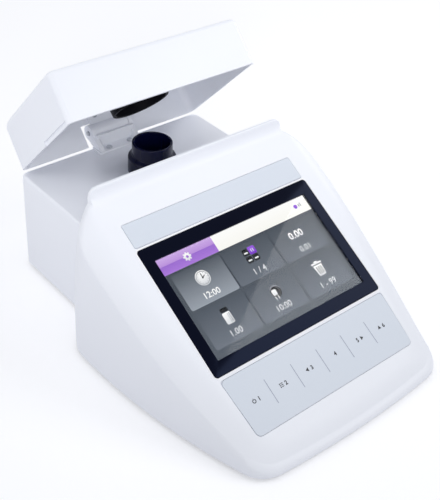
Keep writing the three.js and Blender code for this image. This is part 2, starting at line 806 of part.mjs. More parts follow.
function samplePortCollar() {
  const skirtFoot = bodyBottom + opticsBottom + opticsHeight + wellFlangeThickness + 2 * gap;
  const seat = deckTop + gap;
  const profile = [
    [wellBoreRadius, skirtFoot],
    [collarSkirtRadius, skirtFoot],
    [collarSkirtRadius, seat],
    [collarRingRadius, seat],
    [collarRingRadius, seat + collarRingHeight - 2 * collarEdge],
    [collarRingRadius - collarEdge, seat + collarRingHeight - collarEdge],
    [collarTopRadius, seat + collarRingHeight],
    [collarTopRadius, seat + collarHeight - collarEdge],
    [collarTopRadius - collarEdge, seat + collarHeight],
    [wellBoreRadius + collarEdge / 2, seat + collarHeight],
    [wellBoreRadius, seat + collarHeight - collarEdge / 2],
  ];
  return moved(turned(profile, 2 * roundSteps), 0, wellY, 0);
}

const wellOuterRadius = wellBoreRadius + wellWall;
const blockBottom = bodyBottom + opticsBottom;
const blockTop = blockBottom + opticsHeight;

function sampleWell() {
  const foot = bodyBottom + wellFloorHeight;
  const flange = blockTop + gap;
  const profile = [
    [0, foot],
    [wellOuterRadius, foot],
    [wellOuterRadius, flange],
    [wellFlangeRadius, flange],
    [wellFlangeRadius, flange + wellFlangeThickness],
    [wellBoreRadius, flange + wellFlangeThickness],
    [wellBoreRadius, foot + wellFloorThickness],
    [0, foot + wellFloorThickness],
  ];
  const reach = wellOuterRadius + overrun;
  const windows = [
    bar("x", [-reach, 0, beamHeight], windowRadius, 2 * reach, smallRoundSteps),
    bar("y", [0, 0, beamHeight], windowRadius, reach, smallRoundSteps),
  ];
  return moved(cut(turned(profile), ...windows), 0, wellY, 0);
}

function opticsBlock() {
  const half = opticsHalfSize;
  const body = block([-half, -half, blockBottom], [half, half, blockTop]);
  const legs = mirrored((side) => side).flatMap((x) => mirrored((y) => {
    const corner = [x * (half - opticsLegSize / 2), y * (half - opticsLegSize / 2)];
    return block([corner[0] - opticsLegSize / 2, corner[1] - opticsLegSize / 2, plateTop + gap],
      [corner[0] + opticsLegSize / 2, corner[1] + opticsLegSize / 2, blockBottom + overrun]);
  }));
  const bores = [
    bar("z", [0, 0, blockBottom - overrun], wellOuterRadius + opticsClearance, opticsHeight + 2 * overrun),
    bar("x", [-half - overrun, 0, beamHeight], lampRadius, half, 2 * smallRoundSteps),
    bar("x", [0, 0, beamHeight], detectorRadius, half + overrun, 2 * smallRoundSteps),
    bar("y", [0, 0, beamHeight], detectorRadius, half + overrun, 2 * smallRoundSteps),
  ];
  const screwHoles = opticsScrewPlaces.map(([x, y]) =>
    bar("z", [x, y - wellY, plateTop], screwHoleRadius, screwLength, smallRoundSteps));
  return moved(cut(join(body, ...legs), ...bores, ...screwHoles), 0, wellY, 0);
}

const opticsScrewPlaces = mirrored((side) => {
  const reach = side * (opticsHalfSize - opticsLegSize / 2);
  return [reach, wellY + reach];
});

/** A round module for the optics block, with its nose at z = 0 of its own axis and its flange further up. */
function opticModule(radius, length, flangeRadius, flangeThickness) {
  return turned([
    [0, 0],
    [radius, 0],
    [radius, length],
    [flangeRadius, length],
    [flangeRadius, length + flangeThickness],
    [radius, length + flangeThickness],
    [radius, length + 2 * flangeThickness],
    [0, length + 2 * flangeThickness],
  ], 2 * smallRoundSteps);
}

const lensX = wellOuterRadius + opticsClearance + gap;
const lampNose = lensX + lensThickness + gap;

function lampModule() {
  const length = opticsHalfSize + gap - lampNose;
  const piece = opticModule(lampRadius - gap, length, lampFlangeRadius, lampFlangeThickness);
  const tailFoot = length + lampFlangeThickness;
  const tail = bar("z", [0, 0, tailFoot], lensRadius, lampLength - length, smallRoundSteps);
  return moved(join(piece, tail).rotate([0, -90, 0]), -lampNose, wellY, beamHeight);
}

function lampLens() {
  const radius = lampRadius - gap;
  const piece = turned([
    [0, 0],
    [lensRadius, lensThickness / 4],
    [radius, lensThickness / 4],
    [radius, lensThickness],
    [0, lensThickness],
  ], 2 * smallRoundSteps);
  return moved(piece.rotate([0, -90, 0]), -lensX, wellY, beamHeight);
}

function detector(angle) {
  const nose = wellOuterRadius + opticsClearance + gap;
  const length = opticsHalfSize + gap - nose;
  const piece = opticModule(detectorRadius - gap, length, detectorFlangeRadius, detectorFlangeThickness);
  const placed = moved(piece.rotate([0, 90, 0]), nose, 0, 0).rotate([0, 0, angle]);
  return moved(placed, 0, wellY, beamHeight);
}

// Base

const feet = {
  front_left_foot: [-consoleHalfWidth + frontFootSideInset, -consoleDepth + frontFootInset],
  front_right_foot: [consoleHalfWidth - frontFootSideInset, -consoleDepth + frontFootInset],
  rear_left_foot: [-boxHalfWidth + rearFootSideInset, boxRearY - rearFootInset],
  rear_right_foot: [boxHalfWidth - rearFootSideInset, boxRearY - rearFootInset],
};

const mainBoardPosts = mirrored((side) => side * (mainBoardWidth / 2 - standoffInset)).flatMap((x) =>
  mirrored((side) => [x, mainBoardCentreY + side * (mainBoardDepth / 2 - standoffInset)]));
const mainBoardScrewPosts = [mainBoardPosts[0], mainBoardPosts.at(-1)];
const socketBoardY = boxRearY - wall - boxDraft - overrun - socketBoardDepth / 2;
const socketBoardPosts = mirrored((side) => [side * (socketBoardWidth / 2 - standoffInset), socketBoardY]);

function basePlate() {
  const edge = wall + plateEdgeGap;
  const inset = { side: edge + plateEdgeGap, front: edge + noseWall + 2 * overrun, rear: edge };
  const consolePart = loft([bodyBottom, plateTop].map((height) =>
    ringAt(consoleOutline(inset, frontCornerRadius, rearCornerRadius), () => height)));
  const boxOutline = compartmentOutline(boxHalfWidth - edge - boxDraft, edge, boxRearY - edge - boxDraft,
    boxFrontCornerRadius, boxCornerRadius - wall);
  const boxPart = loft([bodyBottom, plateTop].map((height) => ringAt(boxOutline, () => height)));
  const bridge = block([-passageHalfWidth + plateEdgeGap, -2 * edge, bodyBottom],
    [passageHalfWidth - plateEdgeGap, 2 * edge, plateTop]);
  const posts = [
    ...mainBoardPosts.map(([x, y]) => bar("z", [x, y, bodyBottom + wall], standoffRadius,
      mainBoardHeight + basePlateThickness - wall, smallRoundSteps)),
    ...socketBoardPosts.map(([x, y]) => bar("z", [x, y, bodyBottom + wall], standoffRadius,
      socketBoardHeight + basePlateThickness - wall, smallRoundSteps)),
  ];
  const through = basePlateThickness + 2 * overrun;
  const holes = [
    ...[...consoleBosses, ...boxBosses, ...opticsScrewPlaces].map(([x, y]) =>
      bar("z", [x, y, bodyBottom - overrun], screwHoleRadius, through, smallRoundSteps)),
    ...Object.values(feet).map(([x, y]) =>
      bar("z", [x, y, bodyBottom - overrun], footStemRadius + gap, through, smallRoundSteps)),
    ...mainBoardPosts.map(([x, y]) => bar("z", [x, y, plateTop], smallHoleRadius,
      mainBoardHeight + overrun, smallRoundSteps)),
    ...socketBoardPosts.map(([x, y]) => bar("z", [x, y, plateTop], smallHoleRadius,
      socketBoardHeight + overrun, smallRoundSteps)),
  ];
  return cut(join(consolePart, bridge, boxPart, ...posts), ...holes);
}

function foot([x, y]) {
  const bulb = plateTop + gap;
  const profile = [
    [0, 0],
    [footRadius - overrun, 0],
    [footRadius, bodyBottom / 3],
    [footRadius - overrun / 2, bodyBottom - gap],
    [footStemRadius, bodyBottom - gap],
    [footStemRadius, bulb],
    [footBulbRadius, bulb],
    [footStemRadius / 2, bulb + footBulbHeight],
    [0, bulb + footBulbHeight],
  ];
  return moved(turned(profile, 2 * smallRoundSteps), x, y, 0);
}

function screwsFromBelow(places) {
  const piece = () => screw(screwHeadRadius, screwHeadHeight, screwRadius, screwLength - overrun);
  return places.map(([x, y]) => moved(piece(), x, y, bodyBottom - gap));
}

function board(width, depth, y, height, posts) {
  const slab = plate(rectangle(width, depth, y, gap), height, height + boardThickness);
  const holes = posts.map(([x, postY]) => bar("z", [x, postY, height - overrun], smallHoleRadius,
    boardThickness + 2 * overrun, smallRoundSteps));
  return cut(slab, ...holes);
}

function boardScrews(posts, height) {
  const piece = () => smallScrew().rotate([180, 0, 0]);
  return posts.map(([x, y]) => moved(piece(), x, y, height));
}

function mainBoard() {
  const height = plateTop + mainBoardHeight + gap;
  const slab = board(mainBoardWidth, mainBoardDepth, mainBoardCentreY, height, mainBoardPosts);
  const base = mainBoardTop - boardThickness / 2;
  const chip = block([-processorSize / 2, mainBoardCentreY - processorSize / 2, base],
    [processorSize / 2, mainBoardCentreY + processorSize / 2, mainBoardTop + processorHeight]);
  const blocks = mirrored((side) => {
    const y = mainBoardCentreY + side * (mainBoardDepth / 2 - headerBlockWidth);
    return block([-headerBlockLength / 2, y - headerBlockWidth / 2, base],
      [headerBlockLength / 2, y + headerBlockWidth / 2, mainBoardTop + headerBlockHeight]);
  });
  return join(slab, chip, ...blocks);
}

function clockCell() {
  const x = mainBoardWidth / 2 - 3 * cellRadius;
  return bar("z", [x, mainBoardCentreY, mainBoardTop + gap], cellRadius, cellHeight);
}

const socketBoardBottom = plateTop + socketBoardHeight + gap;
const socketBoardTop = socketBoardBottom + boardThickness;

function socketBoard() {
  return board(socketBoardWidth, socketBoardDepth, socketBoardY, socketBoardBottom, socketBoardPosts);
}

function powerJack() {
  const face = boxRearY - boxDraft;
  const body = block([jackX - jackWidth / 2, face - jackDepth, jackCentreZ - jackHeight / 2],
    [jackX + jackWidth / 2, face, jackCentreZ + jackHeight / 2]);
  const inner = face - jackDepth;
  const bore = bar("y", [jackX, inner + wall, jackCentreZ], jackBoreRadius, jackDepth, 2 * smallRoundSteps);
  const pin = bar("y", [jackX, inner + wall / 2, jackCentreZ], jackPinRadius, jackDepth - 2 * wall,
    smallRoundSteps);
  return join(cut(body, bore), pin);
}

function dataPort() {
  const face = boxRearY - boxDraft;
  const [halfWidth, halfHeight] = [portWidth / 2, portHeight / 2];
  const [insideWidth, insideHeight] = [halfWidth - portWall, halfHeight - portWall];
  const outer = block([portX - halfWidth, face - portDepth, portCentreZ - halfHeight],
    [portX + halfWidth, face, portCentreZ + halfHeight]);
  const inner = block([portX - insideWidth, face - portDepth + portWall, portCentreZ - insideHeight],
    [portX + insideWidth, face + overrun, portCentreZ + insideHeight]);
  return cut(outer, inner);
}

// Lid, made in its closed place and opened by the group that carries it

/** The lid's outer or inner form: leaning walls, a softly rounded top edge and a longer fall at the rear. */
function lidForm(thickness, bottom, top) {
  const front = gap + lidHoodGap;
  const rear = boxRearY + lidOverhang;
  const outline = (rise, edge) => compartmentOutline(
    boxHalfWidth - lidSideStep - thickness - lidSideDraft * rise - lidTopEdge * edge,
    front + thickness - lidFrontLean * rise + lidTopEdge * edge,
    rear - thickness - lidRearLean * rise - lidRearEdgeLength * edge,
    lidFrontCornerRadius,
    lidRearCornerRadius,
  );
  const fall = (y) => {
    const rearShare = (y - rear + lidRearEdgeLength * 2) / (lidRearEdgeLength * 2);
    return THREE.MathUtils.lerp(lidTopEdge, lidRearEdgeDrop, THREE.MathUtils.clamp(rearShare, 0, 1));
  };
  const rings = [ringAt(outline(0, 0), () => bottom)];
  for (let i = 0; i <= lidEdgeSteps; i += 1) {
    const angle = (Math.PI / 2) * (i / lidEdgeSteps);
    const straight = outline(1, 0);
    const spots = outline(1, 1 - Math.cos(angle));
    rings.push(spots.map((point, k) => {
      const height = top - fall(straight[k].y) * (1 - Math.sin(angle));
      return new THREE.Vector3(point.x, point.y, height);
    }));
  }
  return loft(rings);
}

const sealTop = deckTop + gap + collarHeight + gap + sealTopThickness + overrun;
const leafY = pivotY + leafFromPivot - leafThickness;
const leafScrewZ = pivotZ + leafHeight - leafScrewDrop;

function lidShell() {
  const outer = lidForm(0, lidRim, lidTop);
  const inner = lidForm(wall, lidRim - overrun, lidTop - wall);
  const front = gap + lidHoodGap;
  const postLength = lidTop - wall / 2 - sealTop - gap;
  const post = bar("z", [0, wellY, sealTop + gap], sealPostRadius, postLength, smallRoundSteps);
  const leafBosses = mirrored((side) => bar("y", [side * leafScrewX, leafY + leafThickness + gap, leafScrewZ],
    standoffRadius, lidOverhang, smallRoundSteps).intersect(outer));
  const reach = notchHalfWidth;
  const notch = block([-reach, pivotY - earRadius, lidRim - overrun],
    [reach, boxRearY + lidOverhang + overrun, pivotZ + earRadius + notchClearance]);
  const grips = mirrored((side) => {
    const x = side * (boxHalfWidth - lidSideStep);
    const ends = [x - side * gripDepth, x + side * overrun].sort((a, b) => a - b);
    return block([ends[0], front + lidFrontCornerRadius, lidRim - overrun],
      [ends[1], front + lidFrontCornerRadius + gripLength, lidRim + gripHeight]);
  });
  const holeLength = lidTop - 2 * wall - sealTop + overrun;
  const holes = [
    bar("z", [0, wellY, sealTop], smallHoleRadius, holeLength, smallRoundSteps),
    ...mirrored((side) =>
      bar("y", [side * leafScrewX, leafY, leafScrewZ], smallHoleRadius, leafScrewLength, smallRoundSteps)),
  ];
  return cut(join(cut(outer, inner), post, ...leafBosses), notch, ...grips, ...holes);
}

function lightSeal() {
  const foot = sealTop - sealHeight;
  const under = sealTop - sealTopThickness;
  const profile = [
    [smallHoleRadius, under],
    [sealRadius - sealWall, under],
    [sealRadius - sealWall, foot],
    [sealRadius - collarEdge, foot],
    [sealRadius, foot + collarEdge],
    [sealRadius, sealTop],
    [smallHoleRadius, sealTop],
  ];
  return moved(turned(profile, 2 * roundSteps), 0, wellY, 0);
}

function sealScrew() {
  const under = sealTop - sealTopThickness - gap;
  return moved(smallScrew(sealTopThickness + smallScrewLength / 2), 0, wellY, under);
}

// Hinge

function hingeBracket() {
  const base = deckTop + gap;
  const rear = boxRearY - boxEdgeRadius - boxDraft;
  const slab = block([-bracketHalfWidth, bracketFrontY, base],
    [bracketHalfWidth, rear, base + bracketThickness]);
  const ears = mirrored((side) => {
    const x = side > 0 ? earInnerX : -earInnerX - earThickness;
    const disc = bar("x", [x, pivotY, pivotZ], earRadius, earThickness);
    const cheek = new THREE.Shape();
    const low = base + bracketThickness / 2;
    cheek.moveTo(pivotY - earRadius, pivotZ);
    cheek.lineTo(rear - earFootLength, low);
    cheek.lineTo(rear, low);
    cheek.lineTo(pivotY + earRadius * 0.8, pivotZ - earRadius * 0.6);
    cheek.closePath();
    return join(disc, alongX(cheek, x, x + earThickness));
  });
  const web = block([-earInnerX - earThickness / 2, rear - webThickness, base],
    [earInnerX + earThickness / 2, rear, pivotZ + webAbovePivot]);
  const reach = 2 * bracketHalfWidth;
  const bore = bar("x", [-reach / 2, pivotY, pivotZ], pinRadius + hingeClearance, reach, 2 * smallRoundSteps);
  const holes = mirrored((side) => bar("z", [side * bracketScrewX, bracketScrewY, base - overrun],
    smallHoleRadius, bracketThickness + 2 * overrun, smallRoundSteps));
  return cut(join(slab, web, ...ears), bore, ...holes);
}

function hingePin() {
  const half = earInnerX + earThickness + gap;
  const shaft = bar("x", [-half - overrun, pivotY, pivotZ], pinRadius, 2 * half + overrun,
    2 * smallRoundSteps);
  const head = bar("x", [half, pivotY, pivotZ], pinHeadRadius, pinHeadThickness, 2 * smallRoundSteps);
  return join(shaft, head);
}

function frictionSleeve() {
  const half = earInnerX - 2 * gap;
  const outer = bar("x", [-half, pivotY, pivotZ], sleeveRadius, 2 * half, 2 * smallRoundSteps);
  const reach = 2 * half + 2 * overrun;
  const bore = bar("x", [-reach / 2, pivotY, pivotZ], pinRadius + hingeClearance, reach, 2 * smallRoundSteps);
  return cut(outer, bore);
}

function lidHingeLeaf() {
  const half = earInnerX - gap;
  const barrel = bar("x", [-half, pivotY, pivotZ], barrelRadius, 2 * half);
  const leaf = block([-half, leafY, pivotZ], [half, leafY + leafThickness, pivotZ + leafHeight]);
  const reach = 2 * half + 2 * overrun;
  const bore = bar("x", [-reach / 2, pivotY, pivotZ], sleeveRadius + hingeClearance, reach,
    2 * smallRoundSteps);
  const holes = mirrored((side) => bar("y", [side * leafScrewX, leafY - overrun, leafScrewZ],
    smallHoleRadius, leafThickness + 2 * overrun, smallRoundSteps));
  return cut(join(barrel, leaf), bore, ...holes);
}

function leafScrews() {
  return mirrored((side) => {
    const piece = smallScrew(leafScrewLength).rotate([-90, 0, 0]);
    return moved(piece, side * leafScrewX, leafY - gap - pivotY, leafScrewZ - pivotZ);
  });
}

function bracketScrews() {
  const top = deckTop + gap + bracketThickness + gap;
  const piece = () => smallScrew(bracketThickness + smallScrewLength).rotate([180, 0, 0]);
  return mirrored((side) => moved(piece(), side * bracketScrewX, bracketScrewY, top));
}

// Materials

function finish(color, roughness, metalness = 0) {
  return new THREE.MeshStandardMaterial({ color, roughness, metalness });
}

const whitePlastic = finish("#e8eaf1", 0.45);
const greyPlastic = finish("#d6dbe4", 0.4);
const blackGloss = finish("#05050f", 0.15);
const blackPlastic = finish("#0c0d16", 0.4);
const clearGlass = finish("#1b2030", 0.05);
const screenFace = finish("#59616c", 0.2);
const steel = finish("#b8bcc2", 0.3, 1);
const rubber = finish("#2a2b30", 0.8);
const silicone = finish("#c9cdd6", 0.7);
const circuitBoard = finish("#1f5c3a", 0.5);

// Assembly

const model = new THREE.Group();
const panelPieces = new THREE.Group();
panelPieces.applyMatrix4(panelFrame);
const lidPieces = new THREE.Group();
lidPieces.position.set(0, pivotY, pivotZ);
lidPieces.rotation.x = -lidOpenAngle;
model.add(panelPieces, lidPieces);

function add(group, name, body, material) {
  const mesh = new THREE.Mesh(geometryOf(body), material.clone());
  mesh.name = name;
  group.add(mesh);
}

/** Adds like pieces, numbered from the left and from the front. */
function addEach(group, name, bodies, material) {
  bodies.forEach((body, i) => add(group, `${name}_${i + 1}`, body, material));
}

/** Adds a lid piece, moved so that its hinge line is the group's own x axis. */
function addToLid(name, body, material) {
  add(lidPieces, name, moved(body, 0, -pivotY, -pivotZ), material);
}

add(model, "console_housing", consoleHousing(), whitePlastic);
add(panelPieces, "header_strip", headerStrip(), greyPlastic);
add(panelPieces, "display_bezel", displayBezel(), blackGloss);
add(panelPieces, "display_glass", displayGlass(), clearGlass);
add(panelPieces, "screen_module", screenModule(), screenFace);
add(panelPieces, "screen_tray", screenTray(), steel);
add(panelPieces, "display_board", displayBoard(), circuitBoard);
add(panelPieces, "keypad_overlay", keypadOverlay(), greyPlastic);
addEach(panelPieces, "key_plunger", keyPlaces.map(keyPlunger), silicone);
add(panelPieces, "key_board", keyBoard(), circuitBoard);
addEach(panelPieces, "key_board_screw", keyBoardScrews(), steel);

add(model, "compartment_housing", compartmentHousing(), whitePlastic);
add(model, "sample_port_collar", samplePortCollar(), blackPlastic);
add(model, "sample_well", sampleWell(), blackPlastic);
add(model, "optics_block", opticsBlock(), blackPlastic);
add(model, "lamp_module", lampModule(), steel);
add(model, "lamp_lens", lampLens(), clearGlass);
add(model, "transmitted_light_detector", detector(0), blackPlastic);
add(model, "scattered_light_detector", detector(90), blackPlastic);
addEach(model, "optics_screw", screwsFromBelow(opticsScrewPlaces), steel);

add(model, "base_plate", basePlate(), greyPlastic);
addEach(model, "housing_screw", screwsFromBelow([...consoleBosses, ...boxBosses]), steel);
for (const [name, place] of Object.entries(feet)) add(model, name, foot(place), rubber);
add(model, "main_board", mainBoard(), circuitBoard);
addEach(model, "main_board_screw", boardScrews(mainBoardScrewPosts, mainBoardTop + gap), steel);
add(model, "clock_cell", clockCell(), steel);
add(model, "socket_board", socketBoard(), circuitBoard);
addEach(model, "socket_board_screw", boardScrews(socketBoardPosts, socketBoardTop + gap), steel);
add(model, "power_jack", powerJack(), blackPlastic);
add(model, "data_port", dataPort(), steel);

add(model, "hinge_bracket", hingeBracket(), whitePlastic);
addEach(model, "bracket_screw", bracketScrews(), steel);
add(model, "hinge_pin", hingePin(), steel);
addToLid("friction_sleeve", frictionSleeve(), blackPlastic);
addToLid("lid_hinge_leaf", lidHingeLeaf(), whitePlastic);
addEach(lidPieces, "leaf_screw", leafScrews(), steel);
addToLid("lid_shell", lidShell(), whitePlastic);
addToLid("light_seal", lightSeal(), blackPlastic);
addToLid("seal_screw", sealScrew(), steel);

// The origin is the middle of the footprint, on the desk.
model.updateMatrixWorld(true);
const bounds = new THREE.Box3().setFromObject(model, true);
model.position.y = -(bounds.min.y + bounds.max.y) / 2;

export default model;
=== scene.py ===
"""Looks of the benchtop turbidity meter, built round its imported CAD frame. Sizes are in millimetres
until a piece is made, and y = 0 is the foot of the console's rear wall, as in the part's own source."""

import math

import bpy
import numpy as np
from mathutils import Matrix, Vector


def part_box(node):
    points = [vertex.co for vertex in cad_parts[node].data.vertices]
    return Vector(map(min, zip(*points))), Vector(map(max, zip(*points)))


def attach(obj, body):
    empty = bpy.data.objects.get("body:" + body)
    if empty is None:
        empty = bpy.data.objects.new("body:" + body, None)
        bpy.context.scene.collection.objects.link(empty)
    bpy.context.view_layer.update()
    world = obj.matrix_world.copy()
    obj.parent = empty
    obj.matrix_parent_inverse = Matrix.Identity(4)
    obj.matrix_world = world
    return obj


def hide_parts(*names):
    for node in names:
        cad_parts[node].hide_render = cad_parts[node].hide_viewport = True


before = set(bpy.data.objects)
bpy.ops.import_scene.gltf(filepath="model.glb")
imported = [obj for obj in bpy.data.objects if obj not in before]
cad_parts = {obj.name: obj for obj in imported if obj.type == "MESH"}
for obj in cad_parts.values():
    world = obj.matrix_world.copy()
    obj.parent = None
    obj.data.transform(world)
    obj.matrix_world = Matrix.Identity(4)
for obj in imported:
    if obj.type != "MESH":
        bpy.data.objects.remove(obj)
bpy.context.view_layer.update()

MM = 0.001
REAR_WALL_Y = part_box("console_housing")[1][1] / MM
STILL = "meter"
LID = "lid"


def span(node):
    """A node's lowest and highest corners in millimetres, with y from the console's rear wall."""
    return [np.array(corner) / MM - [0, REAR_WALL_Y, 0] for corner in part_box(node)]


def shown(name, data):
    """A new object in the scene."""
    thing = bpy.data.objects.new(name, data)
    bpy.context.scene.collection.objects.link(thing)
    return thing


# Camera, first: fitted to the corners of the display, keypad, box and lid in the photograph.
CAMERA_PLACE = (-411.357, -454.188, 519.344)
CAMERA_RIGHT = (0.764053, -0.642927, 0.053549)
CAMERA_UP = (0.352851, 0.485927, 0.799607)
CAMERA_FORWARD = (0.540110, 0.592047, -0.598131)
LENS = 67.21
SENSOR = 36.0
VIEW_REACH = 50.0

camera = shown("photograph_view", bpy.data.cameras.new("photograph_view"))
camera.data.lens = LENS
camera.data.sensor_fit = "AUTO"
camera.data.sensor_width = SENSOR
camera.data.clip_end = VIEW_REACH
axes = [CAMERA_RIGHT, CAMERA_UP, [-value for value in CAMERA_FORWARD]]
camera.matrix_world = Matrix.Translation(Vector(CAMERA_PLACE) * MM) @ Matrix(axes).transposed().to_4x4()
bpy.context.scene.camera = camera


# Materials

# The sockets by which the mix node takes and gives colours.
FIRST, SECOND, MIXED = 6, 7, 2


def hex_colour(text):
    """An sRGB hex value as a linear colour."""
    channels = [int(text[i:i + 2], 16) / 255 for i in (1, 3, 5)]
    return [c / 12.92 if c <= 0.04045 else ((c + 0.055) / 1.055) ** 2.4 for c in channels] + [1.0]


def add_node(tree, kind, inputs=None, **settings):
    """A node with its settings and inputs. An input is a value, a hex colour, a socket to link, or a
    node, whose first socket is linked."""
    node = tree.nodes.new(kind)
    for name, value in settings.items():
        setattr(node, name, value)
    for name, value in (inputs or {}).items():
        if isinstance(value, bpy.types.Node):
            value = value.outputs[0]
        if isinstance(value, bpy.types.NodeSocket):
            tree.links.new(value, node.inputs[name])
        else:
            node.inputs[name].default_value = hex_colour(value) if isinstance(value, str) else value
    return node


def new_material(name):
    """A fresh material and its empty node tree."""
    material = bpy.data.materials.new(name)
    material.use_nodes = True
    material.node_tree.nodes.clear()
    return material, material.node_tree


def patterned_material(name):
    """A fresh material, its node tree, and the object's own coordinates in it."""
    material, tree = new_material(name)
    return material, tree, add_node(tree, "ShaderNodeTexCoord").outputs["Object"]


def finished(material, tree, inputs):
    """The material, with one surface that reads the inputs."""
    surface = add_node(tree, "ShaderNodeBsdfPrincipled", inputs)
    add_node(tree, "ShaderNodeOutputMaterial", {"Surface": surface})
    return material


def edged_bump(tree, height, depth_mm, edge_mm):
    """A surface normal with a fine relief, and with each hard edge rounded by a small radius."""
    edge = add_node(tree, "ShaderNodeBevel", {"Radius": edge_mm * MM}, samples=4)
    return add_node(tree, "ShaderNodeBump", {
        "Strength": 1.0, "Distance": depth_mm * MM, "Height": height, "Normal": edge})


# The film's cells, the metal's lines and the board's tracks are drawn coarser than the real ones, which
# are too fine to show.
DRIFT_MM = 70.0
CELL_MM = 0.5
LINE_MM = 0.3
HAZE_MM = 33.0
TRACK_MM = 8.0
PLASTIC_EDGE_MM = 0.35
THIN_EDGE_MM = 0.2
BOARD_EDGE_MM = 0.1
FILM_RELIEF_MM = 0.006
POLISHED_RELIEF_MM = 0.0
METAL_RELIEF_MM = 0.01
BOARD_RELIEF_MM = 0.03
ABS_IOR = 1.53
POLYESTER_IOR = 1.6
ACRYLIC_IOR = 1.49
GLASS_IOR = 1.2
BOARD_IOR = 1.5
CLEAR = (0.99, 0.99, 0.99, 1)
COAT_BLUE = (0.36, 0.5, 1.0, 1)


def moulded_plastic(name, tones, roughness, grain_mm, grain_depth_mm, specular=0.5):
    """Injection-moulded plastic off a spark-eroded tool: an even colour with a faint drift, a fine
    leathery grain that breaks up the sheen, and edges that catch a thin line of light."""
    material, tree, place = patterned_material(name)
    drift = add_node(tree, "ShaderNodeTexNoise", {
        "Vector": place, "Scale": 1 / (DRIFT_MM * MM), "Detail": 3.0})
    colour = add_node(tree, "ShaderNodeMix", {
        "Factor": drift, FIRST: tones[0], SECOND: tones[1]}, data_type="RGBA")
    grain = add_node(tree, "ShaderNodeTexNoise", {
        "Vector": place, "Scale": 1 / (grain_mm * MM), "Detail": 4.0, "Roughness": 0.6})
    sheen = add_node(tree, "ShaderNodeMapRange", {
        "Value": grain, "To Min": roughness - 0.05, "To Max": roughness + 0.07})
    return finished(material, tree, {
        "Base Color": colour.outputs[MIXED], "Roughness": sheen, "IOR": ABS_IOR,
        "Specular IOR Level": specular, "Normal": edged_bump(tree, grain, grain_depth_mm, PLASTIC_EDGE_MM)})


def printed_film(name, tones):
    """Polyester membrane film with a fine matt texture, screen printed from behind: smooth, even and a
    little silky."""
    material, tree, place = patterned_material(name)
    drift = add_node(tree, "ShaderNodeTexNoise", {
        "Vector": place, "Scale": 1 / (DRIFT_MM * MM), "Detail": 2.0})
    colour = add_node(tree, "ShaderNodeMix", {
        "Factor": drift, FIRST: tones[0], SECOND: tones[1]}, data_type="RGBA")
    cells = add_node(tree, "ShaderNodeTexVoronoi", {"Vector": place, "Scale": 1 / (CELL_MM * MM)})
    return finished(material, tree, {
        "Base Color": colour.outputs[MIXED], "Roughness": 0.38, "IOR": POLYESTER_IOR,
        "Specular IOR Level": 0.3, "Normal": edged_bump(tree, cells, FILM_RELIEF_MM, THIN_EDGE_MM)})


def black_acrylic(name, tones):
    """Cast acrylic with a bluish anti-reflection coat, printed black from behind: a deep navy black."""
    material, tree, place = patterned_material(name)
    haze = add_node(tree, "ShaderNodeTexNoise", {
        "Vector": place, "Scale": 1 / (HAZE_MM * MM), "Detail": 2.0})
    colour = add_node(tree, "ShaderNodeMix", {
        "Factor": haze, FIRST: tones[0], SECOND: tones[1]}, data_type="RGBA")
    polish = add_node(tree, "ShaderNodeMapRange", {"Value": haze, "To Min": 0.04, "To Max": 0.09})
    return finished(material, tree, {
        "Base Color": colour.outputs[MIXED], "Roughness": polish, "IOR": ACRYLIC_IOR,
        "Specular IOR Level": 0.11, "Specular Tint": COAT_BLUE,
        "Normal": edged_bump(tree, haze, POLISHED_RELIEF_MM, PLASTIC_EDGE_MM)})


def display_cover(name):
    """Thin toughened glass with an anti-reflection coat: clear from the front, brighter at a slant."""
    material, tree = new_material(name)
    slant = add_node(tree, "ShaderNodeFresnel", {"IOR": GLASS_IOR})
    clear = add_node(tree, "ShaderNodeBsdfTransparent", {"Color": CLEAR})
    gloss = add_node(tree, "ShaderNodeBsdfAnisotropic", {"Roughness": 0.03})
    surface = add_node(tree, "ShaderNodeMixShader", {0: slant, 1: clear, 2: gloss})
    add_node(tree, "ShaderNodeOutputMaterial", {"Surface": surface})
    return material


def lit_screen(name, foot, top):
    """A backlit liquid crystal picture: it gives its own light, from one colour at its foot to one at
    its top."""
    material, tree = new_material(name)
    rise = add_node(tree, "ShaderNodeUVMap", uv_map="picture")
    split = add_node(tree, "ShaderNodeSeparateXYZ", {"Vector": rise})
    colour = add_node(tree, "ShaderNodeMix", {
        "Factor": split.outputs["Y"], FIRST: foot, SECOND: top}, data_type="RGBA")
    return finished(material, tree, {
        "Base Color": (0.002, 0.002, 0.003, 1), "Roughness": 0.5, "Specular IOR Level": 0.05,
        "Emission Color": colour.outputs[MIXED], "Emission Strength": 1.0})


def worked_metal(name, colour, roughness):
    """Zinc-plated or drawn steel: fine lines along the work and a soft sheen."""
    material, tree, place = patterned_material(name)
    stretched = add_node(tree, "ShaderNodeMapping", {"Vector": place, "Scale": (0.05, 1.0, 1.0)})
    lines = add_node(tree, "ShaderNodeTexNoise", {
        "Vector": stretched, "Scale": 1 / (LINE_MM * MM), "Detail": 3.0})
    sheen = add_node(tree, "ShaderNodeMapRange", {
        "Value": lines, "To Min": roughness - 0.06, "To Max": roughness + 0.1})
    return finished(material, tree, {
        "Base Color": colour, "Metallic": 1.0, "Roughness": sheen,
        "Normal": edged_bump(tree, lines, METAL_RELIEF_MM, THIN_EDGE_MM)})


def fibreglass_board(name):
    """Glass-fibre board under green solder mask, with the copper tracks just showing."""
    material, tree, place = patterned_material(name)
    tracks = add_node(tree, "ShaderNodeTexBrick", {
        "Vector": place, "Scale": 1 / (TRACK_MM * MM), "Mortar Size": 0.04,
        "Color1": "#1E5A3A", "Color2": "#236844", "Mortar": "#3C8B5C"})
    return finished(material, tree, {
        "Base Color": tracks, "Roughness": 0.35, "IOR": BOARD_IOR,
        "Normal": edged_bump(tree, tracks.outputs["Fac"], BOARD_RELIEF_MM, BOARD_EDGE_MM)})


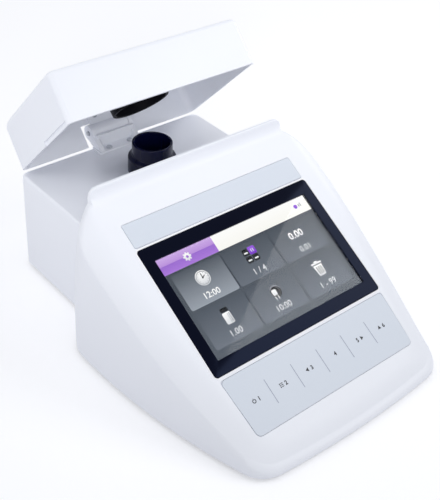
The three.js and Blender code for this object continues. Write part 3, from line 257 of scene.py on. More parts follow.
WHITE_ABS = moulded_plastic("white_moulded_abs", ("#F3F5FC", "#F1F3FA"), 0.42, 0.6, 0.012)
# The rim round the display is the casing's plastic drawn a brighter white: a painted highlight for the line
# of light along that edge.
PAINTED_HIGHLIGHT_ABS = moulded_plastic("painted_highlight_rim_abs", ("#FAFAFD", "#F8F8FC"), 0.35, 0.6, 0.005)
BLACK_ABS = moulded_plastic("black_moulded_abs", ("#040723", "#070B30"), 0.24, 0.5, 0.01, specular=0.22)
SEAL_RUBBER = moulded_plastic("black_seal_rubber", ("#04040B", "#070811"), 0.5, 0.7, 0.02, specular=0.15)
FOOT_RUBBER = moulded_plastic("grey_foot_rubber", ("#2A2B30", "#26272B"), 0.75, 0.8, 0.03)
KEY_SILICONE = moulded_plastic("clear_key_silicone", ("#C9CCD4", "#C2C6CF"), 0.6, 0.5, 0.01)
BASE_ABS = moulded_plastic("grey_base_abs", ("#C9CDD6", "#C4C8D2"), 0.5, 0.8, 0.02)
PANEL_FILM = printed_film("grey_printed_film", ("#DAE0EA", "#D6DDE8"))
PRINT_GREY = printed_film("grey_printed_ink", ("#141824", "#10131D"))
PRINT_LINE = printed_film("pale_printed_ink", ("#9DA3B6", "#959CB0"))
BEZEL_ACRYLIC = black_acrylic("black_acrylic", ("#02020F", "#040514"))
COVER_GLASS = display_cover("display_cover_glass")
ZINC_STEEL = worked_metal("zinc_plated_steel", "#C3C6CC", 0.32)
LAMP_STEEL = worked_metal("drawn_steel", "#B5B8BE", 0.28)
GREEN_BOARD = fibreglass_board("green_circuit_board")
SCREEN_GREY = lit_screen("screen_grey", "#565E68", "#3B434D")
TILE_UPPER = lit_screen("tile_upper_row", "#666E79", "#454D57")
TILE_LOWER = lit_screen("tile_lower_row", "#6E7681", "#4D5560")
TILE_CHOSEN = lit_screen("tile_chosen", "#98A0AA", "#4B535D")
TILE_SHADE = lit_screen("tile_shade", "#2F363F", "#3A414A")
BAR_CREAM = lit_screen("bar_cream", "#FAF9F3", "#FFFFFD")
TAB_PALE = lit_screen("tab_pale_purple", "#B98FDC", "#CDABE8")
TAB_DEEP = lit_screen("tab_deep_purple", "#A877DA", "#9A69D0")
ICON_WHITE = lit_screen("icon_white", "#DDE0E4", "#FFFFFF")
ICON_GREY = lit_screen("icon_grey", "#8B929B", "#B5BAC1")
ICON_DARK = lit_screen("icon_dark", "#1B2026", "#0C0F13")
ICON_PURPLE = lit_screen("icon_purple", "#7430C8", "#9A5BE0")
CAPTION_GREY = lit_screen("caption_grey", "#CDD1D6", "#DADDE1")
CAPTION_WHITE = lit_screen("caption_white", "#F4F5F7", "#FFFFFF")


# Shapes

def arc(centre, radius, start, end, steps):
    """Points along an arc, both ends included."""
    angles = np.linspace(start, end, steps + 1)
    return np.column_stack([centre[0] + radius * np.cos(angles), centre[1] + radius * np.sin(angles)])


def circle(x, y, radius, steps=28):
    return arc((x, y), radius, 0, 2 * math.pi, steps)[:-1]


def bend(start, corner, end, steps):
    """Points, or rings, along a soft bend that leaves one place for a corner and arrives at another."""
    start, corner, end = [np.asarray(place, float) for place in (start, corner, end)]
    return [(1 - t) ** 2 * start + 2 * t * (1 - t) * corner + t ** 2 * end
            for t in np.linspace(0, 1, steps + 1)]


def filleted(points, radii, steps=5):
    """A closed outline with each corner rounded by its own radius."""
    corners = [np.array(point, float) for point in points]
    result = []
    for i, (corner, radius) in enumerate(zip(corners, radii)):
        if radius == 0:
            result.append(corner[None])
            continue
        before, after = corners[i - 1] - corner, corners[(i + 1) % len(corners)] - corner
        enter = corner + before / np.linalg.norm(before) * radius
        leave = corner + after / np.linalg.norm(after) * radius
        result.append(bend(enter, corner, leave, steps))
    return np.vstack(result)


def rounded_box_outline(half_width, front, rear, front_radius, rear_radius, steps=10):
    """A rounded rectangle with its own radius at the front and rear corners."""
    right = math.pi / 2
    return np.vstack([
        arc((half_width - front_radius, front + front_radius), front_radius, -right, 0, steps),
        arc((half_width - rear_radius, rear - rear_radius), rear_radius, 0, right, steps),
        arc((-half_width + rear_radius, rear - rear_radius), rear_radius, right, 2 * right, steps),
        arc((-half_width + front_radius, front + front_radius), front_radius, 2 * right, 3 * right, steps),
    ])


def rectangle(width, height, centre_x, centre_y, radius=0.2, steps=2):
    shape = rounded_box_outline(width / 2, -height / 2, height / 2, radius, radius, steps)
    return shape + [centre_x, centre_y]


def block(half_width, front, rear, low, high):
    """A plain block whose upright edges are hardly rounded."""
    return prism(rounded_box_outline(half_width, front, rear, SHARP_RADIUS, SHARP_RADIUS, 2), low, high)


def at_height(outline, height):
    return np.column_stack([outline, np.full(len(outline), height)])


def ring_faces(levels, count, closed):
    """The faces between rings with equal point counts, and from the last ring to the first where closed."""
    pairs = [(level, (level + 1) % levels) for level in range(levels if closed else levels - 1)]
    return [(a * count + i, a * count + (i + 1) % count, b * count + (i + 1) % count, b * count + i)
            for a, b in pairs for i in range(count)]


def loft(rings):
    """Points and faces of a closed form through rings with equal point counts."""
    count, last = len(rings[0]), (len(rings) - 1) * len(rings[0])
    ends = [tuple(range(count))[::-1], tuple(range(last, last + count))]
    return np.vstack(rings), ring_faces(len(rings), count, False) + ends


def prism(outline, low, high):
    """A flat plate of an outline."""
    return loft([at_height(outline, low), at_height(outline, high)])


def hollow(rings):
    """Points and faces of a frame whose section runs through rings and back to the first."""
    return np.vstack(rings), ring_faces(len(rings), len(rings[0]), True)


def turned(profile, steps):
    """A turned form about +Z from a closed profile of radius and height pairs, counter-clockwise."""
    return hollow([at_height(circle(0, 0, radius, steps), height) for radius, height in profile])


def joined(*forms):
    """Several forms as one list of points and faces."""
    starts = np.cumsum([0] + [len(points) for points, _ in forms])
    faces = [tuple(start + i for i in face) for start, (_, own) in zip(starts, forms) for face in own]
    return np.vstack([points for points, _ in forms]), faces


MAIN_PLACE = Matrix.Translation((0, REAR_WALL_Y, 0))


def mesh_of(name, form, place=MAIN_PLACE):
    """An object whose mesh is a form, moved to its place and turned to metres."""
    points, faces = form
    mesh = bpy.data.meshes.new(name)
    mesh.from_pydata([tuple((place @ Vector(p)) * MM) for p in np.asarray(points, float).tolist()], [], faces)
    mesh.update()
    return shown(name, mesh)


def evaluated_mesh(piece):
    return bpy.data.meshes.new_from_object(piece.evaluated_get(bpy.context.evaluated_depsgraph_get()))


def shaped(piece, additions=(), cutters=()):
    """The piece with forms joined on, then with others taken away."""
    for operation, tools in (("UNION", additions), ("DIFFERENCE", cutters)):
        for tool in tools:
            change = piece.modifiers.new(operation.lower(), "BOOLEAN")
            change.operation = operation
            change.solver = "EXACT"
            change.object = tool
    old, piece.data = piece.data, evaluated_mesh(piece)
    piece.modifiers.clear()
    bpy.data.meshes.remove(old)
    for tool in (*additions, *cutters):
        bpy.data.objects.remove(tool)
    return piece


def smoothed(piece, degrees=32):
    """Smooth faces that meet at a small angle, and keep flat faces flat."""
    piece.data.shade_smooth()
    piece.data.set_sharp_from_angle(angle=math.radians(degrees))
    piece.modifiers.new("flat_faces_first", "WEIGHTED_NORMAL").keep_sharp = True
    return piece


def dressed(piece, material, body=STILL, replaces=()):
    """Gives a finished piece its material and its body, and hides the CAD nodes that it stands for."""
    piece.data.materials.clear()
    piece.data.materials.append(material)
    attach(piece, body)
    if replaces:
        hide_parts(*replaces)
    return piece


# Sizes taken from the frame, and the walls and gaps that its pieces share

CONSOLE_LOW, CONSOLE_HIGH = span("console_housing")
PIVOT = sum(span("hinge_pin")) / 2
COLLAR_LOW, COLLAR_HIGH = span("sample_port_collar")
CONSOLE_HALF_WIDTH = CONSOLE_HIGH[0]
CONSOLE_DEPTH = -CONSOLE_LOW[1]
BODY_BOTTOM = CONSOLE_LOW[2]
BOX_HALF_WIDTH, BOX_REAR_Y, DECK_TOP = span("compartment_housing")[1]
WELL_Y = (COLLAR_LOW[1] + COLLAR_HIGH[1]) / 2
PANEL_HEIGHT_AT_REAR = 127.2
PANEL_HEIGHT_AT_FRONT = 4.558
PANEL_BASE = BODY_BOTTOM + PANEL_HEIGHT_AT_REAR
PANEL_SLOPE = math.atan((PANEL_HEIGHT_AT_REAR - PANEL_HEIGHT_AT_FRONT) / CONSOLE_DEPTH)
LID_ANGLE = math.radians(46)
GAP = 0.3
WALL = 2.5
OVERRUN = 1.0
SHARP_RADIUS = 0.4

PANEL_PLACE = MAIN_PLACE @ Matrix.Translation((0, 0, PANEL_BASE)) @ Matrix.Rotation(PANEL_SLOPE, 4, "X")
TO_PIVOT = Matrix.Translation((0, PIVOT[1], PIVOT[2]))
LID_PLACE = MAIN_PLACE @ TO_PIVOT @ Matrix.Rotation(-LID_ANGLE, 4, "X") @ TO_PIVOT.inverted()


# Console casing

SIDE_BOW_RADIUS = 540.0
SIDE_BOW_START_Y = -39.5
FRONT_BOW_RADIUS = 924.0
FRONT_CORNER_RADIUS = 24.0
REAR_CORNER_RADIUS = 30.0
CROWN_CORNER_RADII = (18.0, 12.0)
PANEL_WALL = 4.5
NOSE_WALL = 9.5
SHOULDER = {"side": 4.8, "front": 5.5, "rear": 2.4}
CROWN = {"side": 20.0, "front": 11.0, "rear": 2.8}
CROWN_DROP = {"side": 10.8, "front": 1.5, "rear": 2.6}
CROWN_FADE_LENGTH = 120.0
CROWN_REAR_BLEND = 15.0
WALL_RISE_SHARES = [0, 0.2, 0.35, 0.5, 0.62, 0.72, 0.8, 0.87, 0.92, 0.955]
CROWN_RISE_SHARES = [0.12, 0.19, 0.27, 0.36, 0.46, 0.57, 0.68, 0.79, 0.9, 1]
SHOULDER_SOFTNESS_SHARES = (0.985, 0.06)
SHOULDER_STEPS = 5
FRONT_STEPS, CORNER_STEPS, SIDE_STEPS, REAR_STEPS = 14, 12, 26, 14
PASSAGE_HALF_WIDTH = 80.0
PASSAGE_TOP = 60.0


def console_outline(side, front, rear, corner_radius, back_radius):
    """The console's plan outline, drawn in from its sides, front and rear."""
    front_centre = np.array([0, FRONT_BOW_RADIUS - CONSOLE_DEPTH])
    side_centre = np.array([CONSOLE_HALF_WIDTH - SIDE_BOW_RADIUS, SIDE_BOW_START_Y])
    front_radius, side_radius = FRONT_BOW_RADIUS - front, SIDE_BOW_RADIUS - side
    reach = front_radius - corner_radius, side_radius - corner_radius
    line = side_centre - front_centre
    distance = np.hypot(*line)
    along = (reach[0] ** 2 - reach[1] ** 2 + distance ** 2) / (2 * distance)
    unit = line / distance
    aside = np.array([-unit[1], unit[0]]) * math.sqrt(reach[0] ** 2 - along ** 2)
    corner = front_centre + unit * along + aside
    front_angle = math.atan2(*(corner - front_centre)[::-1])
    side_angle = math.atan2(*(corner - side_centre)[::-1])
    rear_centre = (CONSOLE_HALF_WIDTH - side - back_radius, -rear - back_radius)
    right = np.vstack([
        arc(front_centre, front_radius, -math.pi / 2, front_angle, FRONT_STEPS)[:-1],
        arc(corner, corner_radius, front_angle, side_angle, CORNER_STEPS)[:-1],
        arc(side_centre, side_radius, side_angle, 0, SIDE_STEPS),
        arc(rear_centre, back_radius, 0, math.pi / 2, REAR_STEPS),
    ])
    return np.vstack([right, right[1:][::-1] * [-1, 1]])


def panel_height(y, lowered=0.0):
    return PANEL_BASE + math.tan(PANEL_SLOPE) * y - lowered


def crown_drop(points):
    """How far the crown falls from the panel plane to the shoulder line."""
    fade = np.minimum(1, (points[:, 1] + CONSOLE_DEPTH) / CROWN_FADE_LENGTH)
    side = CROWN_DROP["front"] + CROWN_DROP["side"] * np.sin(math.pi / 2 * fade)
    outward = (np.abs(points[:, 0]) - (CONSOLE_HALF_WIDTH - REAR_CORNER_RADIUS)) / CROWN_REAR_BLEND
    outward = np.clip(outward, 0, 1)
    blend = np.where(points[:, 1] < -REAR_CORNER_RADIUS, 1, outward ** 2 * (3 - 2 * outward))
    return CROWN_DROP["rear"] + (side - CROWN_DROP["rear"]) * blend


def console_form(thickness, panel_thickness, bottom, nose=0.0, soft=True):
    """Leaning walls up to a soft shoulder line, then a crown up to the flat panel."""
    lowered = panel_thickness / math.cos(PANEL_SLOPE)

    def outline(steps, *radii):
        drawn = {key: thickness + sum(step[key] for step in steps) for key in SHOULDER}
        return console_outline(drawn["side"], drawn["front"] + nose, drawn["rear"], *radii)

    foot = outline([], FRONT_CORNER_RADIUS, REAR_CORNER_RADIUS)
    shoulder = outline([SHOULDER], FRONT_CORNER_RADIUS, REAR_CORNER_RADIUS)
    flat = outline([SHOULDER, CROWN], *CROWN_CORNER_RADII)
    drop = crown_drop(shoulder)
    shoulder_height = panel_height(shoulder[:, 1], lowered) - drop

    def wall_ring(rise):
        spot = foot + (shoulder - foot) * rise ** 3
        return np.column_stack([spot, bottom + (shoulder_height - bottom) * rise])

    def crown_ring(rise):
        spot = shoulder + (flat - shoulder) * rise
        return np.column_stack([spot, panel_height(spot[:, 1], lowered) - drop * (1 - rise) ** 2])

    rings = [wall_ring(rise) for rise in WALL_RISE_SHARES]
    low, high = SHOULDER_SOFTNESS_SHARES
    edge = wall_ring(1)
    rings += bend(wall_ring(low), edge, crown_ring(high), SHOULDER_STEPS) if soft else [edge]
    return loft(rings + [crown_ring(rise) for rise in CROWN_RISE_SHARES])


BROW_INSET = 27.3
BROW_HALF_WIDTH = CONSOLE_HALF_WIDTH - BROW_INSET
BROW_REAR = -SHOULDER["rear"] - GAP
BROW_THICKNESS = 3.4
BROW_RISE = 10.2
BROW_FILLET = 6.0
BROW_EDGE = 1.2
BROW_END_RADIUS = 9.0
BROW_EDGE_STEPS = 5
BROW_FILLET_STEPS = 8
BROW_END_STEPS = 9


def brow_form():
    """The upright lip along the top of the panel: one section along x, which sinks in a bend at both
    ends."""
    front = BROW_REAR - BROW_THICKNESS
    foot = panel_height(front)
    top = foot + BROW_RISE
    toe = front - BROW_FILLET * math.cos(PANEL_SLOPE)
    section = np.vstack([
        [(toe, panel_height(toe, PANEL_WALL)), (BROW_REAR, panel_height(BROW_REAR, PANEL_WALL))],
        bend((BROW_REAR, top - BROW_EDGE), (BROW_REAR, top), (BROW_REAR - BROW_EDGE, top), BROW_EDGE_STEPS),
        bend((front + BROW_EDGE, top), (front, top), (front, top - BROW_EDGE), BROW_EDGE_STEPS),
        bend((front, foot + BROW_FILLET), (front, foot), (toe, panel_height(toe)), BROW_FILLET_STEPS),
    ])
    t = np.linspace(0, 1, BROW_END_STEPS)
    right_x = BROW_HALF_WIDTH - BROW_END_RADIUS * (1 - t) ** 2
    sinks = BROW_END_RADIUS * t ** 2
    rings = []
    for x, sink in zip([*-right_x[::-1], *right_x], [*sinks[::-1], *sinks]):
        heights = section[:, 1].copy()
        proud = heights > foot
        heights[proud] = foot + (heights[proud] - foot) * (BROW_RISE - sink) / BROW_RISE
        rings.append(np.column_stack([np.full(len(section), x), section[:, 0], heights]))
    return loft(rings)


HEADER_LOW_EDGE, HEADER_WIDTH, HEADER_HEIGHT = -55.2, 171.4, 21.0
BEZEL_WIDTH, BEZEL_HEIGHT, BEZEL_CENTRE = 173.0, 111.0, -113.0
BEZEL_PROUD, BEZEL_FOOT, BEZEL_CORNER_RADIUS = 0.2, -2.0, 2.6
DISPLAY_WIDTH, DISPLAY_HEIGHT, DISPLAY_CENTRE = 154.0, 88.0, -113.5
SCREEN_FRAME_BORDER = 1.5
KEYPAD_TOP_WIDTH, KEYPAD_BOTTOM_WIDTH, KEYPAD_HEIGHT, KEYPAD_CENTRE = 170.4, 164.4, 47.6, -195.6
KEYPAD_TOP_RADIUS, KEYPAD_BOTTOM_RADIUS = 2.2, 4.5
STRIP_RECESS, STRIP_THICKNESS, STRIP_CORNER_RADIUS = 0.9, 0.7, 1.6
PANEL_CORNER_STEPS = 8
KEY_COUNT, KEY_PITCH, KEY_RADIUS = 6, 26.6, 4.0
KEY_PLACES = [(i - (KEY_COUNT - 1) / 2) * KEY_PITCH for i in range(KEY_COUNT)]


def keypad_outline(grow):
    """The keypad's outline: slightly narrower at the front, with its front corners rounded more."""
    low, high = [KEYPAD_CENTRE + side * (KEYPAD_HEIGHT / 2 + grow) for side in (-1, 1)]
    narrow, wide = KEYPAD_BOTTOM_WIDTH / 2 + grow, KEYPAD_TOP_WIDTH / 2 + grow
    corners = [(-narrow, low), (narrow, low), (wide, high), (-wide, high)]
    radii = [KEYPAD_BOTTOM_RADIUS + grow] * 2 + [KEYPAD_TOP_RADIUS + grow] * 2
    return filleted(corners, radii, PANEL_CORNER_STEPS)


def console_casing():
    def on_panel(form):
        return mesh_of("cutter", form, PANEL_PLACE)

    def pocket(width, height, border, centre, radius, depth):
        outline = rectangle(width + 2 * border, height + 2 * border, 0, centre, radius, PANEL_CORNER_STEPS)
        return on_panel(prism(outline, -depth, OVERRUN))

    through = PANEL_WALL + OVERRUN
    keys = [prism(circle(x, KEYPAD_CENTRE, KEY_RADIUS + GAP), -through, OVERRUN) for x in KEY_PLACES]
    header_centre = HEADER_LOW_EDGE + HEADER_HEIGHT / 2
    inside = console_form(WALL, PANEL_WALL, BODY_BOTTOM - OVERRUN, NOSE_WALL, soft=False)
    cutters = [
        mesh_of("inside", inside),
        pocket(BEZEL_WIDTH, BEZEL_HEIGHT, GAP, BEZEL_CENTRE, BEZEL_CORNER_RADIUS, GAP - BEZEL_FOOT),
        pocket(DISPLAY_WIDTH, DISPLAY_HEIGHT, SCREEN_FRAME_BORDER, DISPLAY_CENTRE, SHARP_RADIUS, through),
        pocket(HEADER_WIDTH, HEADER_HEIGHT, GAP, header_centre, STRIP_CORNER_RADIUS, STRIP_RECESS),
        on_panel(prism(keypad_outline(GAP), -STRIP_RECESS, OVERRUN)),
        on_panel(joined(*keys)),
        mesh_of("passage", block(PASSAGE_HALF_WIDTH, -3 * WALL, OVERRUN, 0, PASSAGE_TOP)),
    ]
    casing = mesh_of("console_casing", console_form(0, 0, BODY_BOTTOM))
    shaped(casing, [mesh_of("brow", brow_form())], cutters)
    dressed(smoothed(casing), WHITE_ABS, replaces=["console_housing"])


# Sample compartment casing

BOX_CORNER_RADII = (1.0, 6.0)
BOX_EDGE_RADIUS = 2.6
BOX_DRAFT = 0.8
BOX_EDGE_STEPS = 8
INNER_EDGE_STEPS = 4
SOCKET_GAP = 0.6
COLLAR_BORE_RADIUS = 15.2
COLLAR_SKIRT_RADIUS = 18.3
COLLAR_NECK_RADIUS = 17.2
COLLAR_RING_TOP = 14.0
COLLAR_SHOULDER_RISE = 1.6
COLLAR_FILLETS = [0.3, 0.3, 0, 0.3, 1.3, 0.8, 0.9, 0.7]
ROUND_STEPS = 128
PORT_HOLE_STEPS = 96


def compartment_form(thickness, bottom, top, steps):
    """A moulded box with draft and a rounded top edge."""
    front_radius, rear_radius = BOX_CORNER_RADII

    def ring(inset, height):
        outline = rounded_box_outline(BOX_HALF_WIDTH - thickness - inset, GAP + thickness,
                                      BOX_REAR_Y - thickness - inset, front_radius, rear_radius - thickness)
        return at_height(outline, height)

    angles = np.linspace(0, math.pi / 2, steps + 1)
    return loft([ring(0, bottom)] + [
        ring(BOX_DRAFT + BOX_EDGE_RADIUS * (1 - math.cos(angle)),
             top - BOX_EDGE_RADIUS * (1 - math.sin(angle))) for angle in angles])


def compartment_casing():
    def socket_cutter(node):
        low, high = span(node)
        outline = rectangle(high[0] - low[0] + 2 * SOCKET_GAP, 4 * WALL, (low[0] + high[0]) / 2, BOX_REAR_Y)
        return mesh_of("cutter", prism(outline, low[2] - SOCKET_GAP, high[2] + SOCKET_GAP))

    inside = compartment_form(WALL, BODY_BOTTOM - OVERRUN, DECK_TOP - WALL, INNER_EDGE_STEPS)
    port_hole = circle(0, WELL_Y, COLLAR_SKIRT_RADIUS + GAP, PORT_HOLE_STEPS)
    cutters = [
        mesh_of("inside", inside),
        mesh_of("cutter", prism(port_hole, DECK_TOP - 3 * WALL, DECK_TOP + OVERRUN)),
        mesh_of("cutter", block(PASSAGE_HALF_WIDTH, -OVERRUN, 2 * WALL + OVERRUN, 0, PASSAGE_TOP)),
        socket_cutter("power_jack"),
        socket_cutter("data_port"),
    ]
    casing = mesh_of("compartment_casing", compartment_form(0, BODY_BOTTOM, DECK_TOP, BOX_EDGE_STEPS))
    shaped(casing, (), cutters)
    dressed(smoothed(casing), WHITE_ABS, replaces=["compartment_housing"])


def port_collar():
    """The black collar: a wide ring, then a narrower neck with a rounded mouth."""
    seat = DECK_TOP + GAP
    foot, ring_radius, mouth = COLLAR_LOW[2], COLLAR_HIGH[0], COLLAR_HIGH[2]
    neck_foot = seat + COLLAR_RING_TOP + COLLAR_SHOULDER_RISE
    corners = [
        (COLLAR_BORE_RADIUS, foot), (COLLAR_SKIRT_RADIUS, foot), (COLLAR_SKIRT_RADIUS, seat),
        (ring_radius, seat), (ring_radius, seat + COLLAR_RING_TOP), (COLLAR_NECK_RADIUS, neck_foot),
        (COLLAR_NECK_RADIUS, mouth), (COLLAR_BORE_RADIUS, mouth)]
    form = turned(filleted(corners, COLLAR_FILLETS), ROUND_STEPS)
    piece = mesh_of("port_collar", form, MAIN_PLACE @ Matrix.Translation((0, WELL_Y, 0)))
    dressed(smoothed(piece, 40), BLACK_ABS, replaces=["sample_port_collar"])


# Lid

LID_SIDE_STEP = 2.6
LID_HOOD_GAP = 0.9
LID_DECK_GAP = 1.0
LID_HEIGHT = 41.9
LID_OVERHANG = 10.0
LID_RIM = DECK_TOP + LID_DECK_GAP
LID_TOP = LID_RIM + LID_HEIGHT
LID_REAR = BOX_REAR_Y + LID_OVERHANG
LID_LEAN = {"side": 0.9, "front": 2.6, "rear": 3.0}
LID_EDGE = 4.0
LID_REAR_EDGE_LENGTH = 13.0
LID_REAR_EDGE_DROP = 8.0
LID_CORNER_RADII = (4.0, 7.0)
LID_EDGE_STEPS = 10
LID_INNER_STEPS = 5
HINGE_NOTCH_HALF_WIDTH = 25.5
HINGE_NOTCH_CLEARANCE = 8.5
HINGE_EAR_RADIUS = 7.0
GRIP_LENGTH = 46.0
GRIP_DEPTH = 1.1
GRIP_HEIGHT = 3.6
GRIP_CORNER_STEPS = 3
SEAL_RADIUS = 25.5
SEAL_WALL = 2.8
SEAL_HEIGHT = 24.7
SEAL_SCREW_HOLE = 1.6
SEAL_FILLETS = [0.2, 1.2, 0.6, 0.9, 0.6, 0.2]


def lid_form(thickness, bottom, top, steps):
    """Leaning walls, a softly rounded top edge and a longer fall at the rear."""

    def outline(rise, edge):
        return rounded_box_outline(
            BOX_HALF_WIDTH - LID_SIDE_STEP - thickness - LID_LEAN["side"] * rise - LID_EDGE * edge,
            LID_HOOD_GAP + thickness - LID_LEAN["front"] * rise + LID_EDGE * edge,
            LID_REAR - thickness - LID_LEAN["rear"] * rise - LID_REAR_EDGE_LENGTH * edge, *LID_CORNER_RADII)

    rear_share = (outline(1, 0)[:, 1] - LID_REAR) / (2 * LID_REAR_EDGE_LENGTH) + 1
    fall = LID_EDGE + (LID_REAR_EDGE_DROP - LID_EDGE) * np.clip(rear_share, 0, 1)
    angles = np.linspace(0, math.pi / 2, steps + 1)
    return loft([at_height(outline(0, 0), bottom)] + [
        np.column_stack([outline(1, 1 - math.cos(angle)), top - fall * (1 - math.sin(angle))])
        for angle in angles])


def lid_cover():
    def on_lid(form):
        return mesh_of("cutter", form, LID_PLACE)

    side = BOX_HALF_WIDTH - LID_SIDE_STEP + OVERRUN
    grip_y = LID_HOOD_GAP + LID_CORNER_RADII[0] + GRIP_LENGTH / 2
    grips = [rectangle(2 * (GRIP_DEPTH + OVERRUN), GRIP_LENGTH, sign * side, grip_y, SHARP_RADIUS,
                       GRIP_CORNER_STEPS) for sign in (-1, 1)]
    notch = block(HINGE_NOTCH_HALF_WIDTH, PIVOT[1] - HINGE_EAR_RADIUS, LID_REAR + OVERRUN,
                  LID_RIM - OVERRUN, PIVOT[2] + HINGE_NOTCH_CLEARANCE)
    cutters = [
        on_lid(lid_form(WALL, LID_RIM - OVERRUN, LID_TOP - WALL, LID_INNER_STEPS)),
        on_lid(notch),
        on_lid(joined(*[prism(grip, LID_RIM - OVERRUN, LID_RIM + GRIP_HEIGHT) for grip in grips])),
    ]
    cover = mesh_of("lid_cover", lid_form(0, LID_RIM, LID_TOP, LID_EDGE_STEPS), LID_PLACE)
    dressed(smoothed(shaped(cover, (), cutters)), WHITE_ABS, LID, ["lid_shell"])


def light_seal():
    """A black moulded cup that fits over the collar and keeps light out."""
    top = COLLAR_HIGH[2] + GAP + SEAL_WALL + OVERRUN
    foot, under, inner = top - SEAL_HEIGHT, top - SEAL_WALL, SEAL_RADIUS - SEAL_WALL
    corners = [(SEAL_SCREW_HOLE, under), (inner, under), (inner, foot), (SEAL_RADIUS, foot),
               (SEAL_RADIUS, top), (SEAL_SCREW_HOLE, top)]
    form = turned(filleted(corners, SEAL_FILLETS), ROUND_STEPS)
    piece = mesh_of("light_seal_cup", form, LID_PLACE @ Matrix.Translation((0, WELL_Y, 0)))
    dressed(smoothed(piece, 40), SEAL_RUBBER, LID, ["light_seal"])


# Display and keypad

RIM_WIDTH = 1.3
RIM_PROUD = 0.22
RIM_EASE = RIM_WIDTH / 4
BEZEL_EDGE = [(0, BEZEL_FOOT), (0, BEZEL_PROUD - 0.3), (-0.1, BEZEL_PROUD - 0.08), (-0.3, BEZEL_PROUD)]
WINDOW_EDGE = [(0.2, BEZEL_PROUD), (0.05, BEZEL_PROUD - 0.1), (0, BEZEL_FOOT)]


def bezel_outline(grow):
    return rectangle(BEZEL_WIDTH + 2 * grow, BEZEL_HEIGHT + 2 * grow, 0, BEZEL_CENTRE,
                     BEZEL_CORNER_RADIUS + grow, PANEL_CORNER_STEPS)


def window_outline(grow):
    return rectangle(DISPLAY_WIDTH + 2 * grow, DISPLAY_HEIGHT + 2 * grow, 0, DISPLAY_CENTRE,
                     SHARP_RADIUS + grow, PANEL_CORNER_STEPS)


def framed(*sides):
    """A frame on the panel, whose section runs through growth and height pairs of its outlines."""
    return hollow([at_height(outline(grow), height) for outline, edge in sides for grow, height in edge])


def display_frame():
    """The polished black border round the display, with its edges eased, and the thin rim round it, in a
    brighter white than the casing: a painted highlight along its edge.
    """
    piece = mesh_of("display_frame", framed((bezel_outline, BEZEL_EDGE), (window_outline, WINDOW_EDGE)),
                    PANEL_PLACE)
    dressed(smoothed(piece, 50), BEZEL_ACRYLIC, replaces=["display_bezel"])
    inner, outer = GAP, GAP + RIM_WIDTH
    edge = [(outer, -GAP), (outer, 0), (outer - RIM_EASE, RIM_PROUD),
            (inner + RIM_EASE, RIM_PROUD), (inner, 0), (inner, -GAP)]
    piece = mesh_of("display_rim", framed((bezel_outline, edge)), PANEL_PLACE)
    dressed(smoothed(piece, 60), PAINTED_HIGHLIGHT_ABS)


def on_screen(name, forms, material):
    """Flat pieces of the screen's picture, with a map that runs from the foot to the top of each."""
    piece = mesh_of(name, joined(*forms), PANEL_PLACE)
    rises = []
    for points, _ in forms:
        y = np.asarray(points)[:, 1]
        rises.extend((y - y.min()) / np.ptp(y))
    layer = piece.data.uv_layers.new(name="picture")
    for loop in piece.data.loops:
        layer.data[loop.index].uv = (0.5, rises[loop.vertex_index])
    dressed(piece, material)


# Flat shapes: each takes its lower and upper level, the place of its middle or its start, and its own
# sizes.

def lettering(level, x, y, text, size, weight=0.0):
    """A number; weight thickens its strokes by a share of its size."""
    low, high = level
    curve = bpy.data.curves.new("number", "FONT")
    curve.body = text
    curve.size = size
    curve.offset = weight * size
    curve.resolution_u = 3
    curve.extrude = (high - low) / 2
    holder = shown("number", curve)
    mesh = evaluated_mesh(holder)
    points = np.array([v.co[:] for v in mesh.vertices])
    middle = (points.min(0) + points.max(0)) / 2
    faces = [tuple(f.vertices) for f in mesh.polygons]
    bpy.data.objects.remove(holder)
    bpy.data.meshes.remove(mesh)
    return points - middle + [x, y, (low + high) / 2], faces


def disc(level, x, y, radius, steps=28):
    return prism(circle(x, y, radius, steps), *level)


def box(level, x, y, width, height, radius=0.2, steps=2):
    return prism(rectangle(width, height, x, y, radius, steps), *level)


def hoop(level, x, y, outer, inner, start=0.0, end=360.0, steps=32):
    """A flat ring, or part of one between two angles in degrees."""
    low, high = level
    if end - start == 360:
        wide, narrow = circle(x, y, outer, steps), circle(x, y, inner, steps)
        return hollow([at_height(narrow, low), at_height(wide, low),
                       at_height(wide, high), at_height(narrow, high)])
    first, last = math.radians(start), math.radians(end)
    outline = [arc((x, y), outer, first, last, steps), arc((x, y), inner, last, first, steps)]
    return prism(np.vstack(outline), *level)


def bar(level, x, y, run_x, run_y, width):
    """A flat bar from a point over a run."""
    start, run = np.array([x, y], float), np.array([run_x, run_y], float)
    side = np.array([-run[1], run[0]]) / np.linalg.norm(run) * width / 2
    return prism(np.array([start - side, start + run - side, start + run + side, start + side]), *level)


def polygon(level, x, y, points):
    return prism(np.array(points, float) + [x, y], *level)


SCREEN_TOP = -2.26
LAYER = 0.05
LAYER_COUNT = 6
BAR_HEIGHT = 13.6
TAB_WIDTH = 54.0
TAB_X = (TAB_WIDTH - DISPLAY_WIDTH) / 2
TAB_SPLIT_SHARE = 0.47
LINK_INSET = 13.0
LINK_X = DISPLAY_WIDTH / 2 - LINK_INSET
TILE_PITCH = (48.6, 34.25)
TILE_SIZE = (46.9, 31.4)
TILE_RADIUS = 1.8
TILE_CORNER_STEPS = 4
TILES_CENTRE = DISPLAY_CENTRE - 4.3
TILE_PLACES = [(i * TILE_PITCH[0], TILES_CENTRE + j * TILE_PITCH[1])
               for j in (0.5, -0.5) for i in (-1, 0, 1)]
SHADE_SIZE = (0.7, 27.4)
SHADE_DROP = 1.0
SHADE_RADIUS = 0.3
SIGN_RISE = 4.2
CAPTION_DROP = 9.4
CAPTION_SIZE = 7.2
CAPTION_WEIGHT = 0.014
CAPTIONS = ["12:00", "1 / 4", "0.01", "1.00", "10:00", "1 - 99"]

